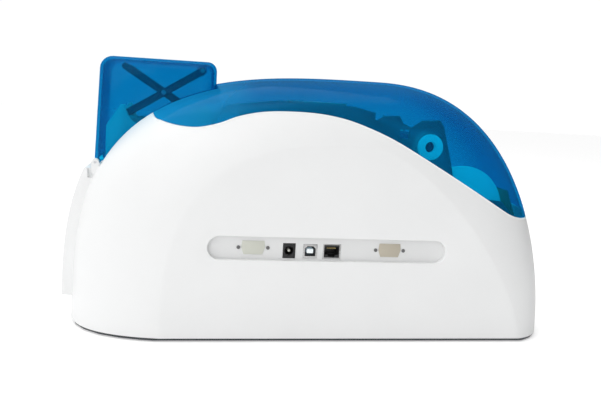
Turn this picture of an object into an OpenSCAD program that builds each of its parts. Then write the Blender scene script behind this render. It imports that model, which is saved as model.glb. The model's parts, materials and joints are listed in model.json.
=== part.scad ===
// Desk-top id card printer: a domed two-piece housing with a wave-shaped rim, a clear
// hinged lid, a clear hinged hopper cover with a scissor presser, and the print mechanism.
// Millimetres. X runs along the printer (card hopper at -X, lid hinge at +X), the port side
// faces -Y, and Z is up from the table.

/* [Housing] */
// Length of the domed housing without the end panel
body_length = 442.5; // [430:0.5:455]
// Width over the two flat sides
body_width = 196; // [190:1:204]
// Height of the dome's crest
crest_height = 228; // [224:0.5:232]
// Wall thickness of the housing
wall = 2.5; // [2:0.1:3]
// How far the end panel stands out of the dome
end_panel_proud = 5.5; // [4:0.5:7]
// Width of the end panel
end_panel_width = 88; // [80:1:92]

/* [Lid] */
// Wall thickness of the clear lid
lid_wall = 2.2; // [1.8:0.1:2.6]
// Gap between the lid and the housing rim
lid_gap = 0.6; // [0.4:0.1:1]
// Radius of the lid's hinge barrel
hinge_barrel_r = 4.4; // [4:0.1:5]

/* [Hopper] */
// Outside length of the hopper cover at its top
hopper_length = 99.5; // [98:0.5:101]
// Outside width of the hopper cover
hopper_width = 96; // [94:0.5:96.5]
// Height of the hopper cover's top above the table
hopper_top = 235; // [233:0.5:238]
// Width of the bevel along the hopper cover's edges
hopper_bevel = 7; // [5:0.5:8]
// Wall thickness of the hopper cover
hopper_wall = 2.2; // [1.8:0.1:2.6]

/* [Presser] */
// Distance between the end pivots of a scissor arm
arm_length = 79; // [77:0.5:80]
// Angle of the arms when the scissor is fully open
arm_angle = 32; // [30:0.5:34]
// Width of a scissor arm
arm_width = 6; // [5:0.5:7]

/* [Ports] */
// Length of the port recess
recess_length = 208; // [200:1:212]
// Height of the port recess
recess_height = 20; // [18:0.5:22]
// Depth of the port recess
recess_depth = 5; // [4:0.5:6]
// Height of the port row above the table
port_height = 81.8; // [80:0.2:84]

/* [Mechanism] */
// Height of the card path
card_path = 112; // [111:0.5:113]
// Radius of the transport rollers
roller_r = 9; // [8.6:0.1:9.2]
// Radius of the full supply roll's flanges
supply_r = 40.5; // [38:0.5:41]
// Half the width of the print film
film_half = 38; // [34:1:40]
// Module of the gears
gear_module = 1; // [1:0.05:1.05]

/* [Hidden] */

// --- dome: a loft from the flat side's arch to the centre-line silhouette ---
sil_right = 166.5;
sil_left = body_length - sil_right;
dome_x = (sil_left + end_panel_proud - sil_right) / 2;
left_end = dome_x - sil_left - end_panel_proud;
right_end = dome_x + sil_right;
sil_power_left = 3.18;
sil_power_right = 2.27;
arch_x = dome_x - 20.7;
arch_left = sil_left - 102.7;
arch_right = sil_right - 16.8;
arch_height = crest_height * 0.75;
arch_power_left = 2.95;
arch_power_right = 1.45;
section_half = body_width / 2 + 3;
section_power = 3.1;
flat_half = body_width / 2;
T_STEPS = 44;
Y_STEPS = 18;

function super_x(t, left, right, pl, pr) =
    cos(t) >= 0 ? right * pow(cos(t), 2 / pr) : -left * pow(-cos(t), 2 / pl);
function super_z(t, h, pl, pr) = h * pow(sin(t), 2 / (cos(t) >= 0 ? pr : pl));
function section_v(y, half) = pow(1 - pow(min(abs(y) / half, 1), section_power), 1 / section_power);
// share of the way from the arch (0, at the flat side) to the silhouette (1, at the centre)
function section_share(y, w) =
    let (half = section_half - w, v0 = section_v(flat_half - w, half))
    (section_v(y, half) - v0) / (1 - v0);
function dome_point(t, y, w) =
    let (
        s = section_share(y, w),
        sx = dome_x + super_x(t, sil_left - w, sil_right - w, sil_power_left, sil_power_right),
        sz = super_z(t, crest_height - w, sil_power_left, sil_power_right),
        ax = arch_x + super_x(t, arch_left - w, arch_right - w, arch_power_left, arch_power_right),
        az = super_z(t, arch_height - w, arch_power_left, arch_power_right)
    )
    [ax + (sx - ax) * s, y, az + (sz - az) * s];
function ring_y(k, w) = -(flat_half - w) * cos(180 * k / Y_STEPS);
// outer face of the dome on the centre line at height z, right (1) or left (-1)
function face_x(z, side) =
    let (reach = side > 0 ? sil_right : sil_left, p = side > 0 ? sil_power_right : sil_power_left)
    dome_x + side * reach * pow(1 - pow(z / crest_height, p), 1 / p);

// --- wave: the rim between the white housing and the clear lid, seen from the side ---
hinge_z = crest_height - 118;
hinge_x = face_x(hinge_z, 1) - 5.3420;
// hopper cover's hinge and length, from which the rim starts
cover_hinge_z = crest_height - 84.5;
cover_hinge_x = face_x(cover_hinge_z, -1) + 0.3870;
hopper_left = cover_hinge_x + 2.2;
hopper_right = hopper_left + hopper_length;
rim_left = hopper_right - 58.3;
// points of the rim: run from its left end, and drop below the crest
RIM = [
    [0, 24], [5.5, 41], [13, 45], [27, 47.8], [43, 48], [60, 43.8], [76, 37.4], [96, 32.8],
    [119, 31.2], [144, 31.8], [167, 35.4], [189, 42.4], [211, 51.6], [236, 64.6], [259, 77],
    [283, 90.2], [307, 103.6], [324, 112.6], [337, 116.4], [350, 117.4]
];
RIM_RUN = 356.8;
WAVE = [for (p = RIM) [rim_left + p[0] * (hinge_x - rim_left) / RIM_RUN, crest_height - p[1]]];
WAVE_STEPS = 4;
function wave_part(a, b, c, d, s) =
    0.5 * ((2 * b) + (c - a) * s + (2 * a - 5 * b + 4 * c - d) * s * s
        + (3 * b - a - 3 * c + d) * s * s * s);
WAVE_LAST = len(WAVE) - 1;
wave_curve = concat(
    [for (i = [0 : WAVE_LAST - 1]) for (j = [0 : WAVE_STEPS - 1])
        wave_part(WAVE[max(i - 1, 0)], WAVE[i], WAVE[i + 1], WAVE[min(i + 2, WAVE_LAST)],
            j / WAVE_STEPS)],
    [WAVE[WAVE_LAST]]
);
hinge_round = 6.3;
// how far the cutting blocks reach
far_x = body_length * 0.6;
far_y = body_width * 0.6;
far_z = max(crest_height, hopper_top) + 30;

// --- base and levels ---
foot_h = 1.2;
pan_t = 2;
pan_inset = 1;
shell_bottom = foot_h + pan_t;

// --- hopper cover ---
hopper_lean = 3.4;
hopper_half = hopper_width / 2;
hopper_foot = cover_hinge_z - 23.5;
opening_left = cover_hinge_x + 3.8;
opening_right = hopper_right + 1;
opening_half = hopper_half + 0.7;
lug_y = [hopper_half - 7.1, hopper_half - 2.5];
knuckle_y = [hopper_half - 15, hopper_half - 7.4];
cover_pin_r = 1.25;
cover_swing_r = 4.6;

// --- presser ---
arm_top_x = hopper_right - 12.3;
arm_top_z = hopper_top - 7.5;
arm_low_x = arm_top_x - arm_length * cos(arm_angle);
arm_low_z = arm_top_z - arm_length * sin(arm_angle);
arm_mid_x = (arm_top_x + arm_low_x) / 2;
arm_mid_z = (arm_top_z + arm_low_z) / 2;
presser_pin_r = 2;
run_gap = 0.05;
outer_arm_y = [hopper_half - 17.5, hopper_half - 14];
inner_arm_y = [hopper_half - 21.5, hopper_half - 18];
plate_lug_y = [hopper_half - 13.5, hopper_half - 10.5];
cover_lug_y = [hopper_half - 13.5, hopper_half - 9.5];
plate_z = arm_low_z - 9;

// --- chassis and mechanism ---
plate_y = flat_half - 37.4;
plate_t = 1.4;
magazine_x = [max(hopper_left + 6.2, face_x(card_path, -1) + 21.1), hopper_right - 3.3];
magazine_wall_y = [hopper_half - 5.8, hopper_half - 3.8];
magazine_top = crest_height - 33.5;
deck_t = 2;
journal_r = 3;
bore_r = journal_r + run_gap;
roller_z = card_path - 1 - roller_r;
roller_half = 26;
pick_x = magazine_x[0] + 38;
clean_x = magazine_x[1] + 18;
entry_x = clean_x + 30;
supply_x = hinge_x - 64.8;
supply_z = hinge_z + 4.2;
takeup_x = supply_x - 41;
takeup_z = crest_height - 56.3;
exit_x = takeup_x - 23;
platen_x = takeup_x - 68;
pinch_r = 6;
pinch_z = card_path - 0.7 + pinch_r;
clean_r = 9;
clean_z = card_path - 0.1 + clean_r;
pulley_r = 8;
belt_gap = 0.3;
belt_t = 1.4;
feed_belt_y = [plate_y + 10.4, plate_y + 15.4];
pick_belt_y = [plate_y + 18, plate_y + 23];
gear_y = [plate_y + 3.6, plate_y + 8.6];
gear_teeth = 36;
pinion_teeth = 12;
gear_distance = gear_module * (gear_teeth + pinion_teeth) / 2;
feed_motor_angle = 230;
feed_shaft_r = 1.5;
feed_motor_x = platen_x + gear_distance * cos(feed_motor_angle);
feed_motor_z = roller_z + gear_distance * sin(feed_motor_angle);
takeup_r = 11.6;
takeup_journal_r = 8;
ribbon_motor_angle = 210;
ribbon_shaft_r = 1;
ribbon_motor_x = takeup_x + gear_distance * cos(ribbon_motor_angle);
ribbon_motor_z = takeup_z + gear_distance * sin(ribbon_motor_angle);
supply_journal_r = 6;
head_pivot_x = platen_x - 45;
head_pivot_z = card_path + 38;
head_tip_z = card_path - 0.1;
head_top = crest_height - 22;
head_body_z = [card_path + 18, card_path + 33];
head_roof_z = head_body_z[1] + 2;
top_guide_z = crest_height - 38;
tie_z = (head_roof_z + top_guide_z) / 2 + 0.5;
// rods that lead the film: right of the head, left of it, and over it
guide_r = 3;
FILM_GUIDES = [[platen_x + 28, card_path + 15.5], [platen_x - 20, card_path + 9],
    [platen_x, top_guide_z]];
film_t = 0.3;

// --- ports, as places along the recess ---
recess_x = 4.8;
port_floor_y = -flat_half + recess_depth;
port_floor_t = 2;
db_left_x = -60.8;
db_right_x = 58.7;
dc_x = -29.9;
usb_x = -11.6;
lan_x = 7.4;
jack_z = port_height - 2.2;
DC_SIZE = [10.8, 13];
USB_SIZE = [12.2, 12.2];
LAN_SIZE = [15.6, 13];
DB_SIZE = [20, 11.6];
DB_SCREWS = 25;
port_fit = 0.25;
board_y = port_floor_y + 15;
board_t = 1.6;

// --- control panel on the side away from the ports ---
panel_x = 10;
panel_z = 126;
panel_length = 104;
panel_height = 32;
panel_front = flat_half - 1.4;
panel_back = flat_half - wall - 1.6;
button_r = 6.5;
button_gap = 0.2;
button_z = panel_z;
power_x = panel_x - 38;
feed_x = panel_x + 38;
window_length = 48;
window_height = 18;

white = "whitesmoke";
clear_blue = "dodgerblue";
steel = "silver";
dark = "dimgray";

// --- shared shapes ---
module xz_plate(y0, y1) {
    translate([0, y1, 0]) rotate([90, 0, 0]) linear_extrude(y1 - y0) children();
}
module rod(x, z, r, y0, y1, fn = 40) {
    translate([x, y1, z]) rotate([90, 0, 0]) cylinder(r = r, h = y1 - y0, $fn = fn);
}
module box(x0, x1, y0, y1, z0, z1) {
    translate([x0, y0, z0]) cube([x1 - x0, y1 - y0, z1 - z0]);
}
module mirror_y() {
    children();
    mirror([0, 1, 0]) children();
}
// solid dome, drawn in from the outer surface by w
module dome(w = 0) {
    rows = Y_STEPS + 1;
    cols = T_STEPS + 1;
    points = [for (k = [0 : Y_STEPS]) for (i = [0 : T_STEPS])
        dome_point(180 * i / T_STEPS, ring_y(k, w), w)];
    side = [for (k = [0 : Y_STEPS - 1]) for (i = [0 : T_STEPS - 1]) each
        let (a = k * cols + i, b = a + 1, c = a + cols, d = c + 1) [[a, b, c], [b, d, c]]];
    bottom = [for (k = [0 : Y_STEPS - 1]) [k * cols, (k + 1) * cols, (k + 1) * cols + T_STEPS,
        k * cols + T_STEPS]];
    near = [for (i = [T_STEPS : -1 : 0]) i];
    far = [for (i = [0 : T_STEPS]) Y_STEPS * cols + i];
    polyhedron(points, concat([near], side, bottom, [far]), convexity = 6);
}
module below_wave() {
    xz_plate(-far_y, far_y) {
        polygon(concat([[-far_x, -5], [-far_x, far_z], [rim_left - 5, far_z]], wave_curve,
            [[hinge_x, hinge_z + 0.6], [far_x, hinge_z + 0.6], [far_x, -5]]));
        translate([hinge_x, hinge_z]) circle(r = hinge_round, $fn = 48);
    }
}
module above_wave() {
    translate([0, 0, lid_gap]) xz_plate(-far_y, far_y) difference() {
        polygon(concat([[rim_left - 5 + lid_gap, far_z]], wave_curve,
            [[hinge_x, hinge_z + 0.6], [far_x, hinge_z + 0.6], [far_x, far_z]]));
        translate([hinge_x, hinge_z - lid_gap]) circle(r = hinge_round + lid_gap, $fn = 48);
    }
}
module hopper_opening(side = 0) {
    box(opening_left, opening_right + side, -opening_half - side, opening_half + side,
        hopper_foot - 20, far_z);
}

// --- housing ---
hinge_slot_half = 13.6;
ear_y = [14, 20];
boss_places = [[left_end + 74, flat_half - 36], [left_end + 184, flat_half - 14],
    [right_end - 154, flat_half - 14], [right_end - 56, flat_half - 36]];
boss_r = 4.2;
exit_slot_half = 29;
exit_slot_z = [card_path - 2.6, card_path + 2.6];

module housing_shell() {
    difference() {
        intersection() {
            difference() {
                dome();
                dome(wall);
            }
            below_wave();
            box(-far_x, far_x, -far_y, far_y, shell_bottom, far_z);
        }
        hopper_opening();
        // room for the lid's hinge arm to swing
        box(hinge_x - 9, hinge_x + 20, -hinge_slot_half, hinge_slot_half, hinge_z - 6, hinge_z + 20);
        // room for the hopper cover's knuckles and lower edge to swing
        mirror_y() for (y = [[-1, lug_y[0]], [lug_y[1], opening_half]]) {
            rod(cover_hinge_x, cover_hinge_z, cover_swing_r, y[0], y[1], 40);
            box(cover_hinge_x - cover_swing_r, opening_left + 1, y[0], y[1], cover_hinge_z,
                cover_hinge_z + 16.5);
        }
        exit_slot();
    }
}
module exit_slot() {
    box(left_end - 11, left_end + 29, -exit_slot_half, exit_slot_half, exit_slot_z[0],
        exit_slot_z[1]);
}
module hinge_ear() {
    rod(hinge_x, hinge_z, hinge_barrel_r, ear_y[0], ear_y[1]);
    intersection() {
        box(hinge_x - hinge_barrel_r, hinge_x + 12, ear_y[0], ear_y[1], hinge_z - 12, hinge_z);
        dome(wall / 2);
    }
}
module cover_lug() {
    rod(cover_hinge_x, cover_hinge_z, 3.2, lug_y[0], lug_y[1], 32);
    difference() {
        xz_plate(lug_y[0], lug_y[1]) polygon([
            [cover_hinge_x - 3.2, cover_hinge_z], [cover_hinge_x + 3.2, cover_hinge_z],
            [cover_hinge_x + 8.5, cover_hinge_z - 5], [cover_hinge_x + 8.5, cover_hinge_z - 11],
            [cover_hinge_x + 1, cover_hinge_z - 16], [cover_hinge_x - 3.2, cover_hinge_z - 8]]);
        dome(wall + 1.5);
    }
}
// half of the housing on the +Y side
module housing_half() {
    difference() {
        union() {
            intersection() {
                housing_shell();
                box(-far_x, far_x, 0, far_y, 0, far_z);
            }
            hinge_ear();
            cover_lug();
            for (p = boss_places) translate([p[0], p[1], shell_bottom])
                cylinder(r = boss_r, h = 26, $fn = 32);
            // ribs from the bosses to the wall
            intersection() {
                for (p = boss_places)
                    box(p[0] - 1, p[0] + 1, p[1] + boss_r - 0.4, flat_half, shell_bottom, 26);
                dome(wall / 2);
            }
        }
        rod(hinge_x, hinge_z, 1.5, ear_y[0] - 1, ear_y[1] + 1, 24);
        rod(cover_hinge_x, cover_hinge_z, cover_pin_r, lug_y[0] - 1, lug_y[1] + 1, 24);
        for (p = boss_places) translate([p[0], p[1], shell_bottom - 1])
            cylinder(r = 1.45, h = 19, $fn = 24);
    }
}
module pill(length, height) {
    translate([-(length - height) / 2, 0]) circle(r = height / 2, $fn = 64);
    translate([(length - height) / 2, 0]) circle(r = height / 2, $fn = 64);
    square([length - height, height], center = true);
}
module port_holes() {
    for (c = [[dc_x, DC_SIZE], [usb_x, USB_SIZE], [lan_x, LAN_SIZE]])
        translate([c[0], jack_z]) square(c[1] + [2 * port_fit, 2 * port_fit], center = true);
    for (x = [db_left_x, db_right_x]) {
        translate([x, port_height]) square(DB_SIZE - [2.4, 2.4], center = true);
        for (s = [-1, 1]) translate([x + s * DB_SCREWS / 2, port_height])
            circle(r = 1.3, $fn = 24);
    }
}
module rear_housing() {
    color(white) difference() {
        union() {
            mirror([0, 1, 0]) housing_half();
            translate([recess_x, 0, port_height])
                xz_plate(-flat_half + 1, port_floor_y + port_floor_t)
                    pill(recess_length + 4, recess_height + 4);
        }
        translate([recess_x, 0, port_height])
            xz_plate(-flat_half - 2, port_floor_y) pill(recess_length, recess_height);
        xz_plate(port_floor_y - 1, port_floor_y + 5) port_holes();
    }
}
module front_housing() {
    color(white) difference() {
        housing_half();
        translate([panel_x, 0, panel_z]) xz_plate(flat_half - 5, flat_half + 5)
            square([panel_length, panel_height], center = true);
    }
}
module end_panel() {
    half = end_panel_width / 2;
    color(white) difference() {
        xz_plate(-half, half) intersection() {
            polygon([for (i = [0 : 40]) [
                dome_x + super_x(90 + 90 * i / 40, sil_left + end_panel_proud, sil_right,
                    sil_power_left, sil_power_right),
                super_z(90 + 90 * i / 40, crest_height + end_panel_proud, sil_power_left,
                    sil_power_right)]]);
            translate([left_end - 16, 24]) square([60, cover_hinge_z - 5.5 - 24]);
        }
        dome();
        mirror_y() box(cover_hinge_x - 6.6, cover_hinge_x + 16.4, lug_y[0] - 0.9, lug_y[1] + 0.9,
            cover_hinge_z - 14, cover_hinge_z + 16.5);
        exit_slot();
    }
}
function plan_edge(side, y, inset) = dome_point(side > 0 ? 0 : 180, y, 0)[0] - side * inset;
pan_outline = let (n = 16, y1 = flat_half - pan_inset) concat(
    [for (k = [0 : n]) let (y = -y1 * cos(180 * k / n)) [plan_edge(-1, y, pan_inset), y]],
    [for (k = [n : -1 : 0]) let (y = -y1 * cos(180 * k / n)) [plan_edge(1, y, pan_inset), y]]);
module base_pan() {
    color(dark) difference() {
        translate([0, 0, foot_h]) linear_extrude(pan_t) polygon(pan_outline);
        for (p = boss_places) for (s = [-1, 1]) translate([p[0], s * p[1], foot_h - 1])
            cylinder(r = 1.7, h = pan_t + 2, $fn = 24);
        for (x = [-60 : 12 : 60]) translate([x - 3, -30, foot_h - 1]) cube([6, 60, pan_t + 2]);
    }
}
foot_places = [[left_end + 54, flat_half - 43], [right_end - 74, flat_half - 36]];
module rubber_feet() {
    color("black") for (p = foot_places) for (s = [-1, 1]) translate([p[0], s * p[1], 0])
        cylinder(r = 9, h = foot_h, $fn = 40);
}
module housing_screws() {
    color(steel) for (p = boss_places) for (s = [-1, 1]) translate([p[0], s * p[1], 0]) {
        translate([0, 0, foot_h - 0.9]) cylinder(r = 2.9, h = 0.9, $fn = 24);
        translate([0, 0, foot_h]) cylinder(r = 1.45, h = 14, $fn = 24);
    }
}

// --- lid ---
BUMP_ANGLES = [99, 70, 64, 42];
bump_y = flat_half - 23;
module lid() {
    color(clear_blue, 0.5) difference() {
        union() {
            difference() {
                intersection() {
                    difference() {
                        dome();
                        dome(lid_wall);
                    }
                    above_wave();
                }
                hopper_opening(0.2);
            }
            intersection() {
                union() {
                    notch_lip();
                    hinge_arm();
                }
                dome(lid_wall / 2);
            }
            for (b = BUMP_ANGLES) for (s = [-1, 1]) translate(dome_point(b, s * bump_y, 0))
                sphere(r = 1.8, $fn = 20);
            rod(hinge_x, hinge_z, hinge_barrel_r, -hinge_slot_half + 0.4, hinge_slot_half - 0.4);
        }
        rod(hinge_x, hinge_z, 1.5 + run_gap, -20, 20, 24);
    }
}
// short wall that stiffens the lid's edge round the hopper
module notch_lip() {
    lip = 1.6;
    difference() {
        intersection() {
            box(rim_left + 3, opening_right + 0.2 + lip, -opening_half - 0.2 - lip,
                opening_half + 0.2 + lip, hopper_foot - 20, far_z);
            above_wave();
        }
        hopper_opening(0.2);
        dome(9);
    }
}
module hinge_arm() {
    half = hinge_slot_half - 0.4;
    difference() {
        box(hinge_x - 4, hinge_x + 8, -half, half, hinge_z, hinge_z + 16);
        translate([hinge_x - 13.5, 0, hinge_z - 3]) rotate([0, 20, 0])
            translate([0, -half - 1, 0]) cube([10, 2 * half + 2, 30]);
    }
}
module lid_hinge_pin() {
    color(steel) rod(hinge_x, hinge_z, 1.5, -ear_y[1], ear_y[1], 24);
}

// --- hopper cover ---
function round_corner(cx, cz, r, a0, a1, n = 6) =
    [for (i = [0 : n]) let (a = a0 + (a1 - a0) * i / n) [cx + r * cos(a), cz + r * sin(a)]];
// outline of the hopper from the side, drawn in by d
function hopper_outline(d) =
    let (rl = 11 - d * 0.6, rr = 8 - d * 0.6, left = hopper_left + d, right = hopper_right - d,
        top = hopper_top - d)
    concat(
        [[left - hopper_lean * 1.3, hopper_foot], [right, hopper_foot]],
        round_corner(right - rr, top - rr, rr, 0, 90),
        round_corner(left + rl, top - rl, rl, 90, 178));
module hopper_block(d) {
    half = hopper_half - d;
    hull() {
        xz_plate(-half + hopper_bevel, half - hopper_bevel) polygon(hopper_outline(d));
        xz_plate(-half, half) polygon(hopper_outline(d + hopper_bevel));
    }
}
module hopper_cover() {
    color(clear_blue, 0.5) difference() {
        union() {
            difference() {
                hopper_block(0);
                hopper_block(hopper_wall);
                dome(5);
                intersection() {
                    dome(-0.7);
                    union() {
                        below_cover(opening_left + 0.6, cover_hinge_z + 56.5);
                        below_cover(cover_hinge_x + 10, cover_hinge_z + 2);
                    }
                }
                below_cover(cover_hinge_x + 10, cover_hinge_z - 4);
                below_cover(hopper_right + 14.7, cover_hinge_z - 15.5);
                mirror_y() {
                    rod(cover_hinge_x, cover_hinge_z, 4.2, lug_y[0] - 0.5, lug_y[1] + 0.5);
                    box(cover_hinge_x - 5, cover_hinge_x + 10, lug_y[0] - 0.5, lug_y[1] + 0.5,
                        hopper_foot - 60, cover_hinge_z);
                }
            }
            mirror_y() {
                rod(cover_hinge_x, cover_hinge_z, 2.9, knuckle_y[0], knuckle_y[1], 32);
                box(cover_hinge_x - 0.9, cover_hinge_x + 1.6, knuckle_y[0], knuckle_y[1],
                    cover_hinge_z, cover_hinge_z + 9);
                scissor_lug();
            }
        }
        rod(cover_hinge_x, cover_hinge_z, cover_pin_r + run_gap, -hopper_half, hopper_half, 24);
        rod(arm_top_x, arm_top_z, presser_pin_r + run_gap, -cover_lug_y[1] - 1,
            cover_lug_y[1] + 1, 24);
    }
}
// what is left open under the cover, from its left side up to x and z
module below_cover(x, z) {
    box(left_end - 6, x, -hopper_half - 2, hopper_half + 2, hopper_foot - 60, z);
}
module scissor_lug() {
    rod(arm_top_x, arm_top_z, 4, cover_lug_y[0], cover_lug_y[1], 32);
    box(arm_top_x - 4, arm_top_x + 4, cover_lug_y[0], cover_lug_y[1], arm_top_z,
        hopper_top - hopper_wall + 0.2);
}
module hopper_hinge_pins() {
    color(steel) mirror_y() rod(cover_hinge_x, cover_hinge_z, cover_pin_r, knuckle_y[0] + 1,
        lug_y[1], 24);
}

// --- presser ---
module arm_bar(x0, z0, x1, z1, y, pin) {
    difference() {
        hull() {
            rod(x0, z0, arm_width / 2, y[0], y[1], 32);
            rod(x1, z1, arm_width / 2, y[0], y[1], 32);
        }
        for (p = pin) rod(p[0], p[1], p[2], y[0] - 1, y[1] + 1, 24);
    }
}
// flat web between two points of an arm, across the width between its bars
module arm_web(x0, z0, x1, z1, half) {
    hull() {
        rod(x0, z0, 1.2, -half, half, 16);
        rod(x1, z1, 1.2, -half, half, 16);
    }
}
function along(x0, z0, x1, z1, s) = [x0 + (x1 - x0) * s, z0 + (z1 - z0) * s];
module presser_outer_arm() {
    pins = [[arm_top_x, arm_top_z, presser_pin_r], [arm_mid_x, arm_mid_z, presser_pin_r],
        [arm_low_x, arm_low_z, presser_pin_r]];
    a = along(arm_top_x, arm_top_z, arm_low_x, arm_low_z, 0.72);
    b = along(arm_top_x, arm_top_z, arm_low_x, arm_low_z, 0.9);
    color("midnightblue") {
        mirror_y() arm_bar(arm_top_x, arm_top_z, arm_low_x, arm_low_z, outer_arm_y, pins);
        arm_web(a[0], a[1], b[0], b[1], outer_arm_y[0]);
    }
}
module presser_inner_arm() {
    pins = [[arm_mid_x, arm_mid_z, presser_pin_r + run_gap]];
    a = along(arm_low_x, arm_top_z, arm_top_x, arm_low_z, 0.66);
    b = along(arm_low_x, arm_top_z, arm_top_x, arm_low_z, 0.86);
    color("midnightblue") {
        mirror_y() arm_bar(arm_low_x, arm_top_z, arm_top_x, arm_low_z, inner_arm_y, pins);
        arm_web(a[0], a[1], b[0], b[1], inner_arm_y[0]);
    }
}
module presser_plate() {
    x0 = arm_low_x - 7;
    x1 = magazine_x[1] - 2.6;
    color("darkslategray") difference() {
        union() {
            box(x0, x1, -magazine_wall_y[0] + 1.7, magazine_wall_y[0] - 1.7, plate_z, plate_z + 3);
            mirror_y() {
                box(x0, x1, inner_arm_y[0] - 1, inner_arm_y[1] + 1, plate_z + 3,
                    arm_low_z - arm_width / 2 - 0.3);
                box(arm_low_x - 4, arm_low_x + 4, plate_lug_y[0], plate_lug_y[1], plate_z + 3,
                    arm_low_z);
                rod(arm_low_x, arm_low_z, 4, plate_lug_y[0], plate_lug_y[1], 32);
            }
        }
        rod(arm_low_x, arm_low_z, presser_pin_r + run_gap, -hopper_half, hopper_half, 24);
    }
}
module presser_pins() {
    color(steel) mirror_y() {
        rod(arm_top_x, arm_top_z, presser_pin_r, outer_arm_y[0], cover_lug_y[1] - 0.2, 24);
        rod(arm_mid_x, arm_mid_z, presser_pin_r, inner_arm_y[0], outer_arm_y[1], 24);
        rod(arm_low_x, arm_low_z, presser_pin_r, outer_arm_y[0], plate_lug_y[1] - 0.2, 24);
    }
}

// --- feeder and chassis ---
finger_r = 17.7;
finger_x = magazine_x[0] + 33.5;
module card_magazine() {
    color("slategray") difference() {
        union() {
            box(magazine_x[0], magazine_x[1], -plate_y, plate_y, card_path - 3, card_path);
            mirror_y() xz_plate(magazine_wall_y[0], magazine_wall_y[1]) polygon([
                [magazine_x[0], card_path], [magazine_x[1], card_path],
                [magazine_x[1], magazine_top], [magazine_x[0] + 12, magazine_top],
                [magazine_x[0], magazine_top - 18.5]]);
            box(magazine_x[1] - 2, magazine_x[1], -magazine_wall_y[1], magazine_wall_y[1],
                card_path + 4, magazine_top);
            for (x = [magazine_x[0] + 8, magazine_x[0] + 68]) mirror_y() box(x - 1, x + 1,
                magazine_wall_y[1] - 0.1, plate_y, card_path - 0.1, card_path + 10);
        }
        rod(finger_x, magazine_top, finger_r, -plate_y, plate_y, 64);
        box(pick_x - 13, pick_x + 13, -roller_half - 1, roller_half + 1, card_path - 22,
            card_path + 2);
    }
}
function shaft_holes() = [
    [pick_x, roller_z, bore_r], [clean_x, clean_z, bore_r], [entry_x, roller_z, bore_r],
    [entry_x, pinch_z, bore_r], [platen_x, roller_z, bore_r], [exit_x, roller_z, bore_r],
    [exit_x, pinch_z, bore_r], [supply_x, supply_z, supply_journal_r + run_gap],
    [takeup_x, takeup_z, takeup_journal_r + run_gap]
];
window_start = magazine_x[1] - 12;
window_pitch = (takeup_x - 4 - window_start) / 6;
module chassis_outline() {
    polygon([
        [magazine_x[0] + 1, card_path - 48], [magazine_x[0] + 1, card_path + 10],
        [magazine_x[1] + 2, card_path + 12], [magazine_x[1] + 2, crest_height - 42],
        [magazine_x[1] + 20, crest_height - 30], [head_pivot_x - 9, crest_height - 23],
        [platen_x - 4, crest_height - 24], [platen_x + 30, crest_height - 31.5],
        [takeup_x - 18, crest_height - 39.6], [takeup_x - 8, crest_height - 33],
        [takeup_x + 9, crest_height - 32], [takeup_x + 13, crest_height - 38],
        [takeup_x + 22.5, crest_height - 70], [supply_x - 11, supply_z + 13.8],
        [supply_x + 35, supply_z + 9.8], [supply_x + 50, supply_z - 6.2],
        [supply_x + 50, supply_z - 50.2], [supply_x + 11, 30], [takeup_x + 2, shell_bottom],
        [magazine_x[1] - 2, shell_bottom], [pick_x, 40]
    ]);
}
module chassis_plate(y0, y1) {
    xz_plate(y0, y1) difference() {
        chassis_outline();
        for (h = shaft_holes()) translate([h[0], h[1]]) circle(r = h[2], $fn = 40);
        translate([head_pivot_x, head_pivot_z]) circle(r = journal_r, $fn = 40);
        translate([platen_x + 16, crest_height - 34.4]) square([7.2, 5.8]);
        translate([takeup_x - 28, crest_height - 50]) square([8.4, 8]);
        for (x = [magazine_x[1] + 28, entry_x + 5, head_pivot_x, platen_x - 18])
            translate([x, crest_height - 52]) square([11, 11]);
        for (x = [entry_x - 10, platen_x + 18])
            translate([x, card_path + 28]) circle(r = 12, $fn = 48);
        for (i = [0 : 6]) translate([window_start + i * window_pitch, 24]) square([22, 38]);
        for (x = [magazine_x[0] + 12, pick_x + 20])
            translate([x, card_path - 38]) square([16, 16]);
    }
}
module chassis_rear_plate() {
    color(steel) chassis_plate(-plate_y - plate_t, -plate_y);
}
module chassis_front_plate() {
    color(steel) difference() {
        chassis_plate(plate_y, plate_y + plate_t);
        rod(feed_motor_x, feed_motor_z, 7.5, plate_y - 1, plate_y + 5);
        rod(ribbon_motor_x, ribbon_motor_z, 4, plate_y - 1, plate_y + 5);
    }
}
module chassis_ties() {
    color(steel) {
        box(platen_x - 4, platen_x + 16, -plate_y, plate_y, tie_z, tie_z + 1.5);
        for (g = FILM_GUIDES) rod(g[0], g[1], guide_r, -plate_y, plate_y, 32);
        box(magazine_x[1] + 4, magazine_x[1] + 24, -plate_y, plate_y, crest_height - 45,
            crest_height - 43.5);
        for (t = [[entry_x - 10, 20, card_path - 46], [takeup_x + 2, 16, supply_z - 52.2],
            [magazine_x[0] + 2, 14, card_path - 46]])
            box(t[0], t[0] + t[1], -plate_y, plate_y, t[2], t[2] + 2);
    }
}
module card_deck() {
    deck_right = exit_x + 19;
    color("slategray") difference() {
        union() {
            box(magazine_x[1], deck_right, -plate_y, plate_y, card_path - 1 - deck_t, card_path - 1);
            for (x = [[magazine_x[1], platen_x - 20], [platen_x + 20, deck_right]]) mirror_y()
                box(x[0], x[1], 27.8, 30, card_path - 1.1, card_path + 2);
        }
        for (x = [entry_x, platen_x, exit_x]) box(x - roller_r - 1, x + roller_r + 1,
            -roller_half - 1, roller_half + 1, card_path - 12, card_path + 8);
    }
}

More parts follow.
